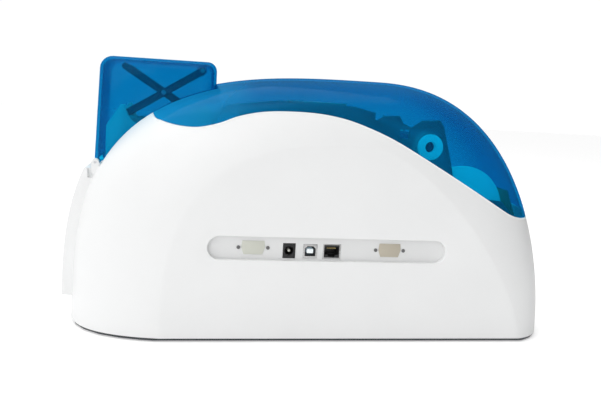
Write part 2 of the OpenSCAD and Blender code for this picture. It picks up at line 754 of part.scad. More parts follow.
// --- rollers ---
module roller(x, z, r, half, shaft_front) {
    rod(x, z, r, -half, half, 48);
    rod(x, z, journal_r, -plate_y - plate_t - 1.5, shaft_front, 32);
}
module pick_roller() {
    color("black") roller(pick_x, roller_z, roller_r + 1.6, roller_half, pick_belt_y[1] + 1.6);
}
module cleaning_roller() {
    color("lightskyblue") roller(clean_x, clean_z, clean_r, roller_half, plate_y + plate_t + 1.5);
}
module entry_roller() {
    color("black") roller(entry_x, roller_z, roller_r, roller_half, pick_belt_y[1] + 1.6);
}
module entry_pinch_roller() {
    color("gainsboro") roller(entry_x, pinch_z, pinch_r, roller_half, plate_y + plate_t + 1.5);
}
module platen_roller() {
    color("black") roller(platen_x, roller_z, roller_r, roller_half, feed_belt_y[1] + 1.6);
}
module exit_roller() {
    color("black") roller(exit_x, roller_z, roller_r, roller_half, feed_belt_y[1] + 1.6);
}
module exit_pinch_roller() {
    color("gainsboro") roller(exit_x, pinch_z, pinch_r, roller_half, plate_y + plate_t + 1.5);
}
// a flanged pulley; the belt runs between its flanges
module pulley(x, y) {
    difference() {
        union() {
            rod(x, roller_z, pulley_r, y[0] - 0.3, y[1] + 0.3, 48);
            rod(x, roller_z, pulley_r + 1.2, y[0] - 1.5, y[0] - 0.3, 48);
            rod(x, roller_z, pulley_r + 1.2, y[1] + 0.3, y[1] + 1.5, 48);
        }
        rod(x, roller_z, journal_r, y[0] - 3, y[1] + 3, 32);
    }
}
module pick_pulley() {
    color(white) pulley(pick_x, pick_belt_y);
}
module entry_pulleys() {
    color(white) {
        pulley(entry_x, feed_belt_y);
        pulley(entry_x, pick_belt_y);
    }
}
module platen_pulley() {
    color(white) pulley(platen_x, feed_belt_y);
}
module exit_pulley() {
    color(white) pulley(exit_x, feed_belt_y);
}
module belt(x0, x1, y) {
    inner = pulley_r + belt_gap;
    xz_plate(y[0], y[1]) difference() {
        belt_loop(x0, x1, inner + belt_t);
        belt_loop(x0, x1, inner);
    }
}
module belt_loop(x0, x1, r) {
    for (x = [x0, x1]) translate([x, roller_z]) circle(r = r, $fn = 48);
    translate([x0, roller_z - r]) square([x1 - x0, 2 * r]);
}
module feed_belt() {
    color("black") belt(entry_x, exit_x, feed_belt_y);
}
module pick_belt() {
    color("black") belt(pick_x, entry_x, pick_belt_y);
}

// --- gears and motors ---
function tooth(i, n, m, turn) =
    let (a = 360 * i / n + turn, root = m * (n / 2 - 1.25), tip = m * (n / 2 + 0.95),
        ar = 0.95 * m / root * 180 / PI, at = 0.36 * m / tip * 180 / PI)
    [for (q = [[root, -ar], [tip, -at], [tip, at], [root, ar]])
        [q[0] * cos(a + q[1]), q[0] * sin(a + q[1])]];
module gear(x, z, n, turn, y0, y1) {
    translate([x, 0, z]) xz_plate(y0, y1)
        polygon([for (i = [0 : n - 1]) each tooth(i, n, gear_module, turn)]);
}
// driven gear with the bore for its shaft
module wheel(x, z, turn, bore) {
    difference() {
        gear(x, z, gear_teeth, turn, gear_y[0], gear_y[1]);
        rod(x, z, bore, gear_y[0] - 1, gear_y[1] + 1, 40);
    }
}
// pinion with the motor shaft it sits on
module pinion(x, z, turn, shaft_r) {
    gear(x, z, pinion_teeth, turn + 180 + 180 / pinion_teeth, gear_y[0] - 0.2, gear_y[1] + 0.4);
    rod(x, z, shaft_r, plate_y - 8, gear_y[1] + 1.6, 24);
}
module drive_gear() {
    color("ivory") wheel(platen_x, roller_z, feed_motor_angle, journal_r);
}
module feed_pinion() {
    color("goldenrod") pinion(feed_motor_x, feed_motor_z, feed_motor_angle, feed_shaft_r);
}
module feed_motor() {
    color(dark) difference() {
        union() {
            translate([feed_motor_x - 13.5, roller_half + 2, feed_motor_z - 13.5])
                cube([27, plate_y - roller_half - 2, 27]);
            rod(feed_motor_x, feed_motor_z, 7.4, plate_y - 1, plate_y + 1.6);
        }
        rod(feed_motor_x, feed_motor_z, feed_shaft_r + run_gap, plate_y - 8.3, plate_y + 5, 24);
    }
}
module takeup_gear() {
    color("ivory") wheel(takeup_x, takeup_z, ribbon_motor_angle, takeup_journal_r);
}
module ribbon_pinion() {
    color("goldenrod") pinion(ribbon_motor_x, ribbon_motor_z, ribbon_motor_angle, ribbon_shaft_r);
}
module ribbon_motor() {
    color(dark) difference() {
        union() {
            rod(ribbon_motor_x, ribbon_motor_z, 10, plate_y - 17.6, plate_y);
            rod(ribbon_motor_x, ribbon_motor_z, 3.9, plate_y - 1, plate_y + 1.6);
        }
        rod(ribbon_motor_x, ribbon_motor_z, ribbon_shaft_r + run_gap, plate_y - 8.3, plate_y + 5,
            24);
    }
}

// --- print head ---
head_side_y = [plate_y - 10.6, plate_y - 8.4];
module head_arm() {
    color("steelblue") {
        difference() {
            mirror_y() xz_plate(head_side_y[0], head_side_y[1]) polygon([
                [head_pivot_x - 7, head_pivot_z - 7], [head_pivot_x + 10, head_pivot_z - 9],
                [platen_x - 12, card_path + 22], [platen_x + 20, card_path + 22],
                [platen_x + 20, head_roof_z], [platen_x - 14, head_roof_z + 11],
                [platen_x - 14, head_top - 8], [platen_x - 8, head_top],
                [head_pivot_x - 3, head_top],
                [head_pivot_x - 7, head_pivot_z + 6]]);
            rod(head_pivot_x, head_pivot_z, bore_r, -plate_y, plate_y, 32);
        }
        box(head_pivot_x - 2, platen_x - 9, -head_side_y[0], head_side_y[0], head_top - 2, head_top);
        box(platen_x - 12, platen_x + 20, -head_side_y[0], head_side_y[0], head_body_z[1],
            head_roof_z);
    }
}
module head_pivot_shaft() {
    color(steel) rod(head_pivot_x, head_pivot_z, journal_r, -plate_y - plate_t, plate_y + plate_t,
        32);
}
module print_head() {
    color("lightgray") {
        box(platen_x - 10, platen_x + 16, -33, 33, head_body_z[0], head_body_z[1]);
        for (i = [0 : 6]) box(platen_x - 10 + 4 * i, platen_x - 8 + 4 * i, -33, 33,
            head_body_z[0] - 6, head_body_z[0] + 0.2);
        box(platen_x - 2, platen_x + 4, -30, 30, head_tip_z, head_body_z[0] + 0.1);
    }
}
// coil springs between the cross tie and the head
spring_z = [head_roof_z, tie_z];
spring_wire = 0.9;
spring_r = 4.4;
module coil_spring(x, y, z0, z1) {
    turns = 5;
    per_turn = 12;
    n = turns * per_turn;
    sides = 6;
    rise = z1 - z0 - 2 * spring_wire;
    pts = [for (i = [0 : n]) let (a = 360 * i / per_turn, zc = z0 + spring_wire + rise * i / n)
        for (j = [0 : sides - 1]) let (b = 360 * j / sides, r = spring_r + spring_wire * cos(b))
            [x + r * cos(a), y + r * sin(a), zc + spring_wire * sin(b)]];
    quads = [for (i = [0 : n - 1]) for (j = [0 : sides - 1]) each
        let (a = i * sides + j, b = i * sides + (j + 1) % sides, c = a + sides, d = b + sides)
            [[a, c, b], [b, c, d]]];
    polyhedron(pts, concat(quads, [[for (j = [0 : sides - 1]) j]],
        [[for (j = [sides - 1 : -1 : 0]) n * sides + j]]), convexity = 8);
}
module head_springs() {
    color(steel) for (y = [-24, 24]) coil_spring(platen_x + 3, y, spring_z[0], spring_z[1]);
}

// --- print film ---
supply_core_r = 12;
flange_y = [plate_y - 12.2, plate_y - 10.6];
module supply_flanges() {
    color("lightcyan") {
        rod(supply_x, supply_z, supply_core_r, -flange_y[1], flange_y[1], 48);
        mirror_y() {
            rod(supply_x, supply_z, supply_r, flange_y[0], flange_y[1], 64);
            rod(supply_x, supply_z, supply_journal_r, flange_y[1], plate_y + plate_t + 1.4, 40);
        }
    }
}
module supply_roll() {
    color("skyblue") difference() {
        rod(supply_x, supply_z, supply_r - 3, -film_half, film_half, 64);
        rod(supply_x, supply_z, supply_core_r, -plate_y, plate_y, 48);
    }
}
module takeup_core() {
    color("lightcyan") difference() {
        union() {
            rod(takeup_x, takeup_z, takeup_journal_r, -plate_y - 5.4, gear_y[1] + 1, 48);
            rod(takeup_x, takeup_z, takeup_r, -plate_y - 6.9, -plate_y - 2.8, 48);
            mirror_y() rod(takeup_x, takeup_z, 12, film_half + 1, film_half + 2.2, 48);
        }
        rod(takeup_x, takeup_z, 5, -plate_y - 20, -film_half - 2, 40);
    }
}
module takeup_roll() {
    color("mediumblue") difference() {
        rod(takeup_x, takeup_z, takeup_r - 1, -film_half, film_half, 48);
        rod(takeup_x, takeup_z, takeup_journal_r, -plate_y, plate_y, 48);
    }
}
// the film runs from the supply roll under the head, over the top guide and to the take-up
function arc_points(c, r, a0, a1, n) =
    [for (i = [0 : n]) let (a = a0 + (a1 - a0) * i / n) [c[0] + r * cos(a), c[1] + r * sin(a)]];
// angle at which a run leaves circle a, to cross over to the other side of circle b
function crossing(a, ra, b, rb) =
    let (d = b - a) (atan2(d[1], d[0]) + 360) % 360 - acos((ra + rb) / norm(d));
function film_path() =
    let (r = guide_r + film_t + 0.2, supply = [supply_x, supply_z], outer_r = supply_r - 2.5,
        leave = crossing(supply, outer_r, FILM_GUIDES[0], r))
    concat(
        [supply + outer_r * [cos(leave), sin(leave)]],
        arc_points(FILM_GUIDES[0], r, leave + 180, 248, 3),
        [[platen_x + 4, head_tip_z - 0.35 - film_t], [platen_x - 2, head_tip_z - 0.35 - film_t]],
        arc_points(FILM_GUIDES[1], r, 240, 164, 4),
        arc_points(FILM_GUIDES[2], r, 164, 80, 4),
        [[takeup_x, takeup_z] + (takeup_r - 1 + film_t + 0.4) * [cos(84), sin(84)]]);
function turned(v) = [-v[1], v[0]] / norm(v);
module ribbon_web() {
    path = film_path();
    last = len(path) - 1;
    outer = [for (i = [0 : last])
        path[i] + film_t * turned(path[max(i - 1, 0)] - path[min(i + 1, last)])];
    color("royalblue") xz_plate(-film_half, film_half)
        polygon(concat(path, [for (i = [last : -1 : 0]) outer[i]]));
}

// --- electronics ---
module port_block(x, size, y0) {
    translate([x, 0, jack_z]) xz_plate(y0, board_y) square(size, center = true);
}
module dc_jack() {
    color("black") difference() {
        port_block(dc_x, DC_SIZE, port_floor_y - 0.3);
        rod(dc_x, jack_z, 3.6, -flat_half - 2, board_y - 2, 32);
    }
    color("white") rod(dc_x, jack_z, 1, port_floor_y + 1, board_y - 1.9, 24);
}
module usb_port() {
    color("lightgray") difference() {
        port_block(usb_x, USB_SIZE, port_floor_y - 0.3);
        xz_plate(-flat_half - 2, board_y - 3) difference() {
            translate([usb_x, jack_z]) square(USB_SIZE - [3, 3], center = true);
            translate([usb_x, jack_z]) square([5.4, 3.6], center = true);
        }
    }
}
module lan_port() {
    color("lightgray") difference() {
        port_block(lan_x, LAN_SIZE, port_floor_y - 0.3);
        xz_plate(-flat_half - 2, board_y - 3) translate([lan_x, jack_z - 0.4])
            square(LAN_SIZE - [2.4, 3], center = true);
    }
}
module port_blank(x) {
    translate([x, 0, port_height]) {
        xz_plate(port_floor_y - 0.8, port_floor_y) polygon([
            [-DB_SIZE[0] / 2 + 2, -DB_SIZE[1] / 2], [DB_SIZE[0] / 2 - 2, -DB_SIZE[1] / 2],
            [DB_SIZE[0] / 2, 0], [DB_SIZE[0] / 2 - 0.6, DB_SIZE[1] / 2],
            [-DB_SIZE[0] / 2 + 0.6, DB_SIZE[1] / 2], [-DB_SIZE[0] / 2, 0]]);
        xz_plate(port_floor_y, port_floor_y + port_floor_t)
            square(DB_SIZE - [3.4, 3.4], center = true);
    }
}
module left_port_blank() {
    color([0.84, 0.85, 0.81]) port_blank(db_left_x);
}
module right_port_blank() {
    color([0.8, 0.77, 0.74]) port_blank(db_right_x);
}
module port_screws() {
    color(steel) for (x = [db_left_x, db_right_x]) for (s = [-1, 1])
        translate([x + s * DB_SCREWS / 2, 0, port_height]) {
            rod(0, 0, 2, port_floor_y - 1, port_floor_y, 24);
            rod(0, 0, 1.25, port_floor_y, port_floor_y + 4, 24);
        }
}
board_x = [usb_x - 36.4, usb_x + 51.6];
board_z = [jack_z - 21.6, jack_z + 28.4];
// chips: place from the board's lower left corner, then size
CHIPS = [[12, 4, 14, 14], [36, 34, 22, 10], [66, 32, 10, 12], [58, 4, 16, 10]];
spacer_places = [[board_x[0] + 4, board_z[0] + 8], [board_x[1] - 4, board_z[0] + 8],
    [board_x[0] + 4, board_z[1] - 14], [board_x[1] - 4, board_z[1] - 14]];
module main_board() {
    color("seagreen") {
        box(board_x[0], board_x[1], board_y, board_y + board_t, board_z[0], board_z[1]);
        for (c = CHIPS) translate([board_x[0] + c[0], board_y + board_t - 0.1, board_z[0] + c[1]])
            cube([c[2], 3.1, c[3]]);
    }
}
module board_spacers() {
    color("goldenrod") for (p = spacer_places)
        rod(p[0], p[1], 2.6, board_y + board_t, -plate_y - plate_t, 24);
}
module sensor_board() {
    color("forestgreen") {
        translate([supply_x + supply_r, 0, supply_z]) {
            xz_plate(-plate_y, -plate_y + 22.6)
                polygon([[-2, 19.8], [-0.4, 20.4], [8.9, -2.2], [7.3, -2.8]]);
            box(5, 8.1, -plate_y, -plate_y + 1.6, -16.2, -2.2);
        }
    }
}

// --- control panel ---
module control_panel() {
    color([0.2, 0.22, 0.25]) difference() {
        translate([panel_x, 0, panel_z]) {
            xz_plate(flat_half - wall, panel_front)
                square([panel_length - 0.4, panel_height - 0.4], center = true);
            xz_plate(panel_back, flat_half - wall)
                square([panel_length + 4, panel_height + 4], center = true);
        }
        translate([panel_x, 0, panel_z]) xz_plate(panel_front - 0.9, panel_front + 1)
            square([window_length, window_height], center = true);
        for (x = [power_x, feed_x]) rod(x, button_z, button_r + button_gap, panel_back - 2,
            panel_front + 2, 48);
    }
}
module panel_window() {
    color([0.45, 0.6, 0.5]) translate([panel_x, 0, panel_z])
        xz_plate(panel_front - 0.9, panel_front - 0.2)
            square([window_length, window_height], center = true);
}
module panel_button(x) {
    rod(x, button_z, button_r, panel_back - 1, panel_front + 1.3, 48);
    rod(x, button_z, button_r + 1.4, panel_back - 2.3, panel_back - 0.3, 48);
}
module power_button() {
    color("limegreen") panel_button(power_x);
}
module feed_button() {
    color("lightgray") panel_button(feed_x);
}

rear_housing();
front_housing();
end_panel();
base_pan();
rubber_feet();
housing_screws();
lid();
lid_hinge_pin();
hopper_cover();
hopper_hinge_pins();
presser_outer_arm();
presser_inner_arm();
presser_plate();
presser_pins();
card_magazine();
chassis_rear_plate();
chassis_front_plate();
chassis_ties();
card_deck();
pick_roller();
cleaning_roller();
entry_roller();
entry_pinch_roller();
platen_roller();
exit_roller();
exit_pinch_roller();
pick_pulley();
entry_pulleys();
platen_pulley();
exit_pulley();
feed_belt();
pick_belt();
drive_gear();
feed_motor();
feed_pinion();
head_arm();
head_pivot_shaft();
print_head();
head_springs();
supply_flanges();
supply_roll();
takeup_core();
takeup_roll();
takeup_gear();
ribbon_motor();
ribbon_pinion();
ribbon_web();
main_board();
board_spacers();
dc_jack();
usb_port();
lan_port();
left_port_blank();
right_port_blank();
port_screws();
sensor_board();
control_panel();
panel_window();
power_button();
feed_button();
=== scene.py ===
import json
import math

import bmesh
import bpy
import numpy as np
from bpy.props import FloatProperty, FloatVectorProperty, PointerProperty
from mathutils import Matrix, Vector


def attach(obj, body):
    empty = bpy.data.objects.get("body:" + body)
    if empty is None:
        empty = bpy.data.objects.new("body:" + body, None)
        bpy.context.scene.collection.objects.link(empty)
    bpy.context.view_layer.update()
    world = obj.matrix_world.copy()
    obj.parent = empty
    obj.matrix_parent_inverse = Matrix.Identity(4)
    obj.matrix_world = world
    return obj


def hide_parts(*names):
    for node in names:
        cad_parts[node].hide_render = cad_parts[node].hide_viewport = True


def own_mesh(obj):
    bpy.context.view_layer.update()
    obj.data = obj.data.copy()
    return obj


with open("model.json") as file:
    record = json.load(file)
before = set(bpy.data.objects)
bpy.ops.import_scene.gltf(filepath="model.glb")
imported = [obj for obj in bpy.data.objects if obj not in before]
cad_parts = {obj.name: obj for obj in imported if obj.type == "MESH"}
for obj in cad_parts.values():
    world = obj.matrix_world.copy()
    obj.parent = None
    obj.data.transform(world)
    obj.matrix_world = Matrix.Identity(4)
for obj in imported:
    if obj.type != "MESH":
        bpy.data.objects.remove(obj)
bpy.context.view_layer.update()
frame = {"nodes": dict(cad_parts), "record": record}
NODES = frame["nodes"]
RECORD = frame["record"]
BODY_OF = {n: body for body, group in RECORD["behaviour"]["bodies"].items() for n in group}

bl_info = {
    "name": "Card printer looks",
    "version": (1, 0, 0),
    "blender": (4, 5, 0),
    "location": "View3D > Sidebar > Card Printer",
    "description": "Dresses the card printer: domed shell, clear lid and hopper, mechanism, ports",
    "category": "Object",
}

MM = 0.001

# --- the dome: silhouette and side arch, as in the solid part (mm) ---
DOME_X, ARCH_X = 57.5, 36.8
SILHOUETTE = dict(x0=DOME_X, left=276.0, right=166.5, height=228.0, power_left=3.18,
                  power_right=2.27)
ARCH = dict(x0=ARCH_X, left=173.3, right=149.7, height=171.0, power_left=2.95, power_right=1.45)
FLAT_HALF, SECTION_HALF, SECTION_POWER = 98.0, 101.0, 3.1
SHELL_BOTTOM, SHELL_WALL, LID_WALL, LID_GAP = 3.2, 2.5, 2.2, 0.6
# how far cutters reach: sideways, to either end and above the dome, and below the floor
WIDE, LONG, UNDER = 120, 260, -20.0
HINGE_X, HINGE_Z, HINGE_ROUND = 203.8, 110.0, 6.3
# the seam between the white shell and the clear lid: its ends, its height at the hinge and the
# wave from the hopper to the hinge
SEAM_LEFT, SEAM_RIGHT, SEAM_Z = -158, HINGE_X + 40, HINGE_Z + 0.6
WAVE = [
    (-153, 204), (-147.5, 187), (-140, 183), (-126, 180.2), (-110, 180), (-93, 184.2),
    (-77, 190.6), (-57, 195.2), (-34, 196.8), (-9, 196.2), (14, 192.6), (36, 185.6), (58, 176.4),
    (83, 163.4), (106, 151), (130, 137.8), (154, 124.4), (171, 115.4), (184, 111.6), (197, 110.6),
]
# the hopper's opening (left, right, half width), its cover's hinge and that hinge's lugs
OPENING = (-192.6, -93.7, 48.7)
COVER_HINGE, LUG_Y, LUG_R, KNUCKLE_R = (-196.4, 143.5), (40.9, 45.5), 3.2, 4.6
# the recess with its three sockets, two blanked ports and their four screws
RECESS_X, RECESS_LENGTH, RECESS_HEIGHT, RECESS_FLOOR = 4.8, 208, 20, -93.0
PORT_Z, JACK_Z = 81.8, 79.6
DC_X, USB_X, LAN_X, BLANKS_X = -29.9, -11.6, 7.4, (-60.8, 58.7)
PORT_SCREWS_X = [x + s * 12.5 for x in BLANKS_X for s in (-1, 1)]
JACK_FRONT, JACK_BACK = -93.3, -78.0
# the lid's hinge: barrel radius, the shell's ears along Y, half width of the lid's arm
BARREL_R, EAR_Y, ARM_HALF = 4.4, (14.0, 20.0), 13.2
PANEL_X, PANEL_Z, PANEL_HALF_X, PANEL_HALF_Z = 10, 126, 52, 16
BOSSES = [(-150, 62), (-40, 84), (70, 84), (168, 62)]
# angles on the dome of the lid's edge bumps, and their place along Y
BUMPS, BUMP_Y = [99, 70, 64, 42], 75.0
# the print film: its run from the supply roll to the take-up, its half width, and the two rolls
FILM = [
    (125.35, 149.67), (59.26, 124.23), (58.41, 124.02), (57.53, 124.03), (56.69, 124.26),
    (34, 111.25), (28, 111.25), (8.25, 117.97), (7.36, 118.7), (6.75, 119.69), (6.5, 120.82),
    (6.64, 121.97), (26.64, 190.97), (27.2, 192.11), (28.15, 192.97), (29.33, 193.44),
    (30.61, 193.45), (99.18, 182.94),
]
FILM_HALF = 38.0
SUPPLY, TAKEUP = (139.0, 114.2), (98.0, 171.7)
# their windings: inner radius, outer radius, turns
SUPPLY_WINDING, TAKEUP_WINDING = (12.6, 36.9, 24), (7.6, 10.2, 4)
# the belts: height of the rollers, inner radius at a pulley, thickness, distance of the teeth,
# and for each belt its node, where its two pulleys are along X and where its edges are along Y
ROLLER_Z, BELT_IN, BELT_T, TOOTH_STEP = 102.0, 8.3, 1.4, 4
BELTS = [("feed_belt", -50, 75, 71, 76), ("pick_belt", -150, -50, 78.6, 83.6)]
# the head springs: place along X, the two places along Y, coil and wire radius, ends, turns
SPRING_X, SPRING_Y, COIL_R, WIRE_R = 33, (-24, 24), 4.4, 0.9
SPRING_LOW, SPRING_TOP, SPRING_TURNS, SPRING_STEPS = 147.0, 169.0, 5.0, 120


def half_curve(t, x0, left, right, height, power_left, power_right):
    """Point of a two-sided superellipse at angle t in degrees (0 right, 90 top, 180 left)."""
    c, s = np.cos(np.radians(t)), np.sin(np.radians(t))
    c = np.where(np.abs(c) < 1e-12, 0.0, c)
    s = np.clip(s, 0.0, 1.0)
    x = np.where(
        c >= 0, right * np.abs(c) ** (2 / power_right), -left * np.abs(c) ** (2 / power_left)
    )
    return x0 + x, height * s ** (2 / np.where(c >= 0, power_right, power_left))


def even_angles(count):
    """Angles that space points evenly along the silhouette."""
    t = np.concatenate([np.geomspace(1e-5, 1, 400), np.linspace(1, 179, 4000)[1:-1]])
    t = np.concatenate([[0], t, 180 - np.geomspace(1, 1e-5, 400), [180]])
    x, z = half_curve(t, **SILHOUETTE)
    run = np.concatenate([[0], np.cumsum(np.hypot(np.diff(x), np.diff(z)))])
    return np.interp(np.linspace(0, run[-1], count + 1), run, t)


def section_share(y, inset):
    """Share of the way from the flat side's arch (0) to the silhouette (1)."""
    half = SECTION_HALF - inset

    def v(value):
        return (1 - np.minimum(np.abs(value) / half, 1) ** SECTION_POWER) ** (1 / SECTION_POWER)

    edge = v(FLAT_HALF - inset)
    return (v(y) - edge) / (1 - edge)


def shrunk(curve, inset):
    return {**curve, **{key: curve[key] - inset for key in ("left", "right", "height")}}


def dome_grid(inset, angles, rows):
    """Grid of points (mm) on the dome drawn in by inset: rows along Y, columns along angles."""
    y = -(FLAT_HALF - inset) * np.cos(np.pi * np.arange(rows + 1) / rows)
    sx, sz = half_curve(angles, **shrunk(SILHOUETTE, inset))
    ax, az = half_curve(angles, **shrunk(ARCH, inset))
    share = section_share(y, inset)[:, None]
    return np.stack(
        [ax + (sx - ax) * share, np.repeat(y[:, None], len(angles), 1), az + (sz - az) * share], -1
    )


def dome_point(angle, y):
    """Point (mm) on the dome at an angle in degrees and a place along Y."""
    (sx,), (sz,) = half_curve(np.array([float(angle)]), **SILHOUETTE)
    (ax,), (az,) = half_curve(np.array([float(angle)]), **ARCH)
    share = section_share(np.array([float(y)]), 0.0)[0]
    return (ax + (sx - ax) * share, y, az + (sz - az) * share)


# --- mesh helpers ---
def placed(name, data):
    obj = bpy.data.objects.new(name, data)
    bpy.context.scene.collection.objects.link(obj)
    return obj


def new_object(name, verts, faces, edges=(), scale=MM):
    mesh = bpy.data.meshes.new(name)
    mesh.from_pydata([tuple(float(c) * scale for c in v) for v in verts], edges, faces)
    mesh.update()
    return placed(name, mesh)


def edited(mesh, change):
    """Runs change on the vertices, edges and faces of a mesh."""
    bm = bmesh.new()
    bm.from_mesh(mesh)
    change(bm)
    bm.to_mesh(mesh)
    bm.free()


def outward(obj):
    edited(obj.data, lambda bm: bmesh.ops.recalc_face_normals(bm, faces=bm.faces))
    return obj


def dome_solid(name, inset, floor=0.0, soft_edge=0.0, count=150, rows=56):
    """Closed dome; floor below 0 lengthens it downwards, soft_edge rounds the flat sides."""
    grid = dome_grid(inset, even_angles(count), rows)
    cols = count + 1
    verts = grid.reshape(-1, 3).tolist()
    faces = [
        (k * cols + i, k * cols + i + 1, (k + 1) * cols + i + 1, (k + 1) * cols + i)
        for k in range(rows)
        for i in range(count)
    ]
    bottoms = []
    for i in (0, count):
        if floor < 0:
            first = len(verts)
            verts += [(grid[k, i, 0], grid[k, i, 1], floor) for k in range(rows + 1)]
            faces += [
                (k * cols + i, (k + 1) * cols + i, first + k + 1, first + k) for k in range(rows)
            ]
            bottoms.append([first + k for k in range(rows + 1)])
        else:
            bottoms.append([k * cols + i for k in range(rows + 1)])
    faces += [
        (bottoms[0][k], bottoms[0][k + 1], bottoms[1][k + 1], bottoms[1][k]) for k in range(rows)
    ]
    for k in (0, rows):
        ring = [k * cols + i for i in range(cols)]
        if floor < 0:
            ring = [bottoms[0][k], *ring, bottoms[1][k]]
        if soft_edge > 0:
            centre = np.array([ARCH_X, 0.0])
            first = len(verts)
            for v in ring:
                p = np.array([verts[v][0], verts[v][2]])
                back = centre - p
                p = p + back / np.linalg.norm(back) * soft_edge
                verts.append((p[0], verts[v][1], max(p[1], floor)))
            n = len(ring)
            faces += [(ring[i], ring[i + 1], first + i + 1, first + i) for i in range(n - 1)]
            faces.append((ring[0], first, first + n - 1, ring[-1]))
            ring = [first + i for i in range(n)]
        faces.append(tuple(ring))
    return outward(new_object(name, verts, faces))


def dome_core(inset):
    """The dome drawn in by inset and open downwards, to hollow a shell or trim what is inside."""
    return dome_solid("dome core", inset, floor=UNDER)


def prism(name, outline, y0, y1):
    """Closed prism of an outline in X and Z (mm) between two Y levels."""
    n = len(outline)
    verts = [(x, y, z) for y in (y0, y1) for x, z in outline]
    faces = [tuple(range(n)), tuple(range(2 * n - 1, n - 1, -1))]
    faces += [(i, (i + 1) % n, n + (i + 1) % n, n + i) for i in range(n)]
    return outward(new_object(name, verts, faces))


def box(name, x0, x1, y0, y1, z0, z1):
    return prism(name, [(x0, z0), (x1, z0), (x1, z1), (x0, z1)], y0, y1)


def circle_points(x, z, r, count=48, a0=0.0, a1=360.0):
    full = abs(a1 - a0) >= 360
    steps = count if full else count + 1
    return [
        (x + r * math.cos(math.radians(a)), z + r * math.sin(math.radians(a)))
        for a in (a0 + (a1 - a0) * i / count for i in range(steps))
    ]


def rod(name, x, z, r, y0, y1, count=48):
    return prism(name, circle_points(x, z, r, count), y0, y1)


def upright(name, x, y, r, z0, z1, count=32):
    rings = [[(px, py, z) for px, py in circle_points(x, y, r, count)] for z in (z0, z1)]
    return loft(name, rings)


def recess_points(more, count=24):
    """Outline in X and Z (mm) of the pill-shaped recess, longer and higher by more."""
    length, height = RECESS_LENGTH + more, RECESS_HEIGHT + more
    reach, r = (length - height) / 2, height / 2
    right = circle_points(RECESS_X + reach, PORT_Z, r, count, -90, 90)
    return right + circle_points(RECESS_X - reach, PORT_Z, r, count, 90, 270)


def loft(name, rings):
    """Closed solid through rings of equal length, each a list of points (mm)."""
    n = len(rings[0])
    verts = [p for ring in rings for p in ring]
    faces = [
        (a * n + i, a * n + (i + 1) % n, (a + 1) * n + (i + 1) % n, (a + 1) * n + i)
        for a in range(len(rings) - 1)
        for i in range(n)
    ]
    faces += [tuple(range(n)), tuple(range((len(rings) - 1) * n, len(rings) * n))]
    return outward(new_object(name, verts, faces))


def drop(obj):
    mesh = obj.data
    bpy.data.objects.remove(obj)
    if mesh.users == 0:
        bpy.data.meshes.remove(mesh)


def evaluated(obj):
    """Applies obj's modifiers to its mesh."""
    bpy.context.view_layer.update()
    graph = bpy.context.evaluated_depsgraph_get()
    mesh = bpy.data.meshes.new_from_object(obj.evaluated_get(graph))
    old = obj.data
    obj.modifiers.clear()
    obj.data = mesh
    if old.users == 0:
        bpy.data.meshes.remove(old)
    return obj


def modified(obj, kind, **settings):
    """Applies a modifier with its settings."""
    modifier = obj.modifiers.new(kind, kind)
    for name, value in settings.items():
        setattr(modifier, name, value)
    return evaluated(obj)


def combine(obj, operation, *others):
    """Boolean of obj with each of the others, which are used up."""
    for other in others:
        modified(obj, "BOOLEAN", object=other, operation=operation, solver="MANIFOLD")
        if len(obj.data.polygons) == 0:
            raise RuntimeError(f"{obj.name}: nothing is left after {operation} with {other.name}")
        drop(other)
    return obj


def cut(obj, *others):
    return combine(obj, "DIFFERENCE", *others)


def join(obj, *others):
    return combine(obj, "UNION", *others)


def keep(obj, *others):
    return combine(obj, "INTERSECT", *others)


def smooth(obj, sharp_degrees):
    """Smooth shading with edges sharper than an angle kept crisp."""
    mesh = obj.data
    mesh.polygons.foreach_set("use_smooth", [True] * len(mesh.polygons))
    mesh.set_sharp_from_angle(angle=math.radians(sharp_degrees))


def bevelled(obj, width, segments=3, degrees=30.0):
    return modified(obj, "BEVEL", width=width * MM, segments=segments, limit_method="ANGLE",
                    angle_limit=math.radians(degrees), harden_normals=False)


def merged(name, objects):
    """One object from several that don't touch each other."""
    bm = bmesh.new()
    for obj in objects:
        bm.from_mesh(obj.data)
        drop(obj)
    mesh = bpy.data.meshes.new(name)
    bm.to_mesh(mesh)
    bm.free()
    return placed(name, mesh)


def polyline(name, points, closed=False):
    """Mesh of edges through points (mm), the path that a node tree follows."""
    edges = [(i, i + 1) for i in range(len(points) - 1)]
    if closed:
        edges.append((len(points) - 1, 0))
    return new_object(name, points, [], edges)


# --- node trees for what repeats or follows a path ---
def add(tree, kind, given=None, **settings):
    """New node; each input in given is linked to a socket or set to a value."""
    node = tree.nodes.new(kind)
    for name, value in settings.items():
        setattr(node, name, value)
    for key, value in (given or {}).items():
        if isinstance(value, bpy.types.NodeSocket):
            tree.links.new(value, node.inputs[key])
        else:
            node.inputs[key].default_value = value
    return node


def new_tree(name, *inputs):
    """Geometry node tree with named inputs, each a label, a kind and a default."""
    tree = bpy.data.node_groups.new(name, "GeometryNodeTree")
    face = tree.interface
    face.new_socket("Geometry", in_out="INPUT", socket_type="NodeSocketGeometry")
    for label, kind, default in inputs:
        socket = face.new_socket(label, in_out="INPUT", socket_type=kind)
        if default is not None:
            socket.default_value = default
    face.new_socket("Material", in_out="INPUT", socket_type="NodeSocketMaterial")
    face.new_socket("Geometry", in_out="OUTPUT", socket_type="NodeSocketGeometry")
    return tree, add(tree, "NodeGroupInput").outputs


def end_tree(tree, given, geometry):
    """Ends a tree in Realize Instances and Set Material."""
    real = add(tree, "GeometryNodeRealizeInstances", {0: geometry})
    paint = add(tree, "GeometryNodeSetMaterial",
                {"Geometry": real.outputs[0], "Material": given["Material"]})
    add(tree, "NodeGroupOutput", {0: paint.outputs[0]})
    return tree


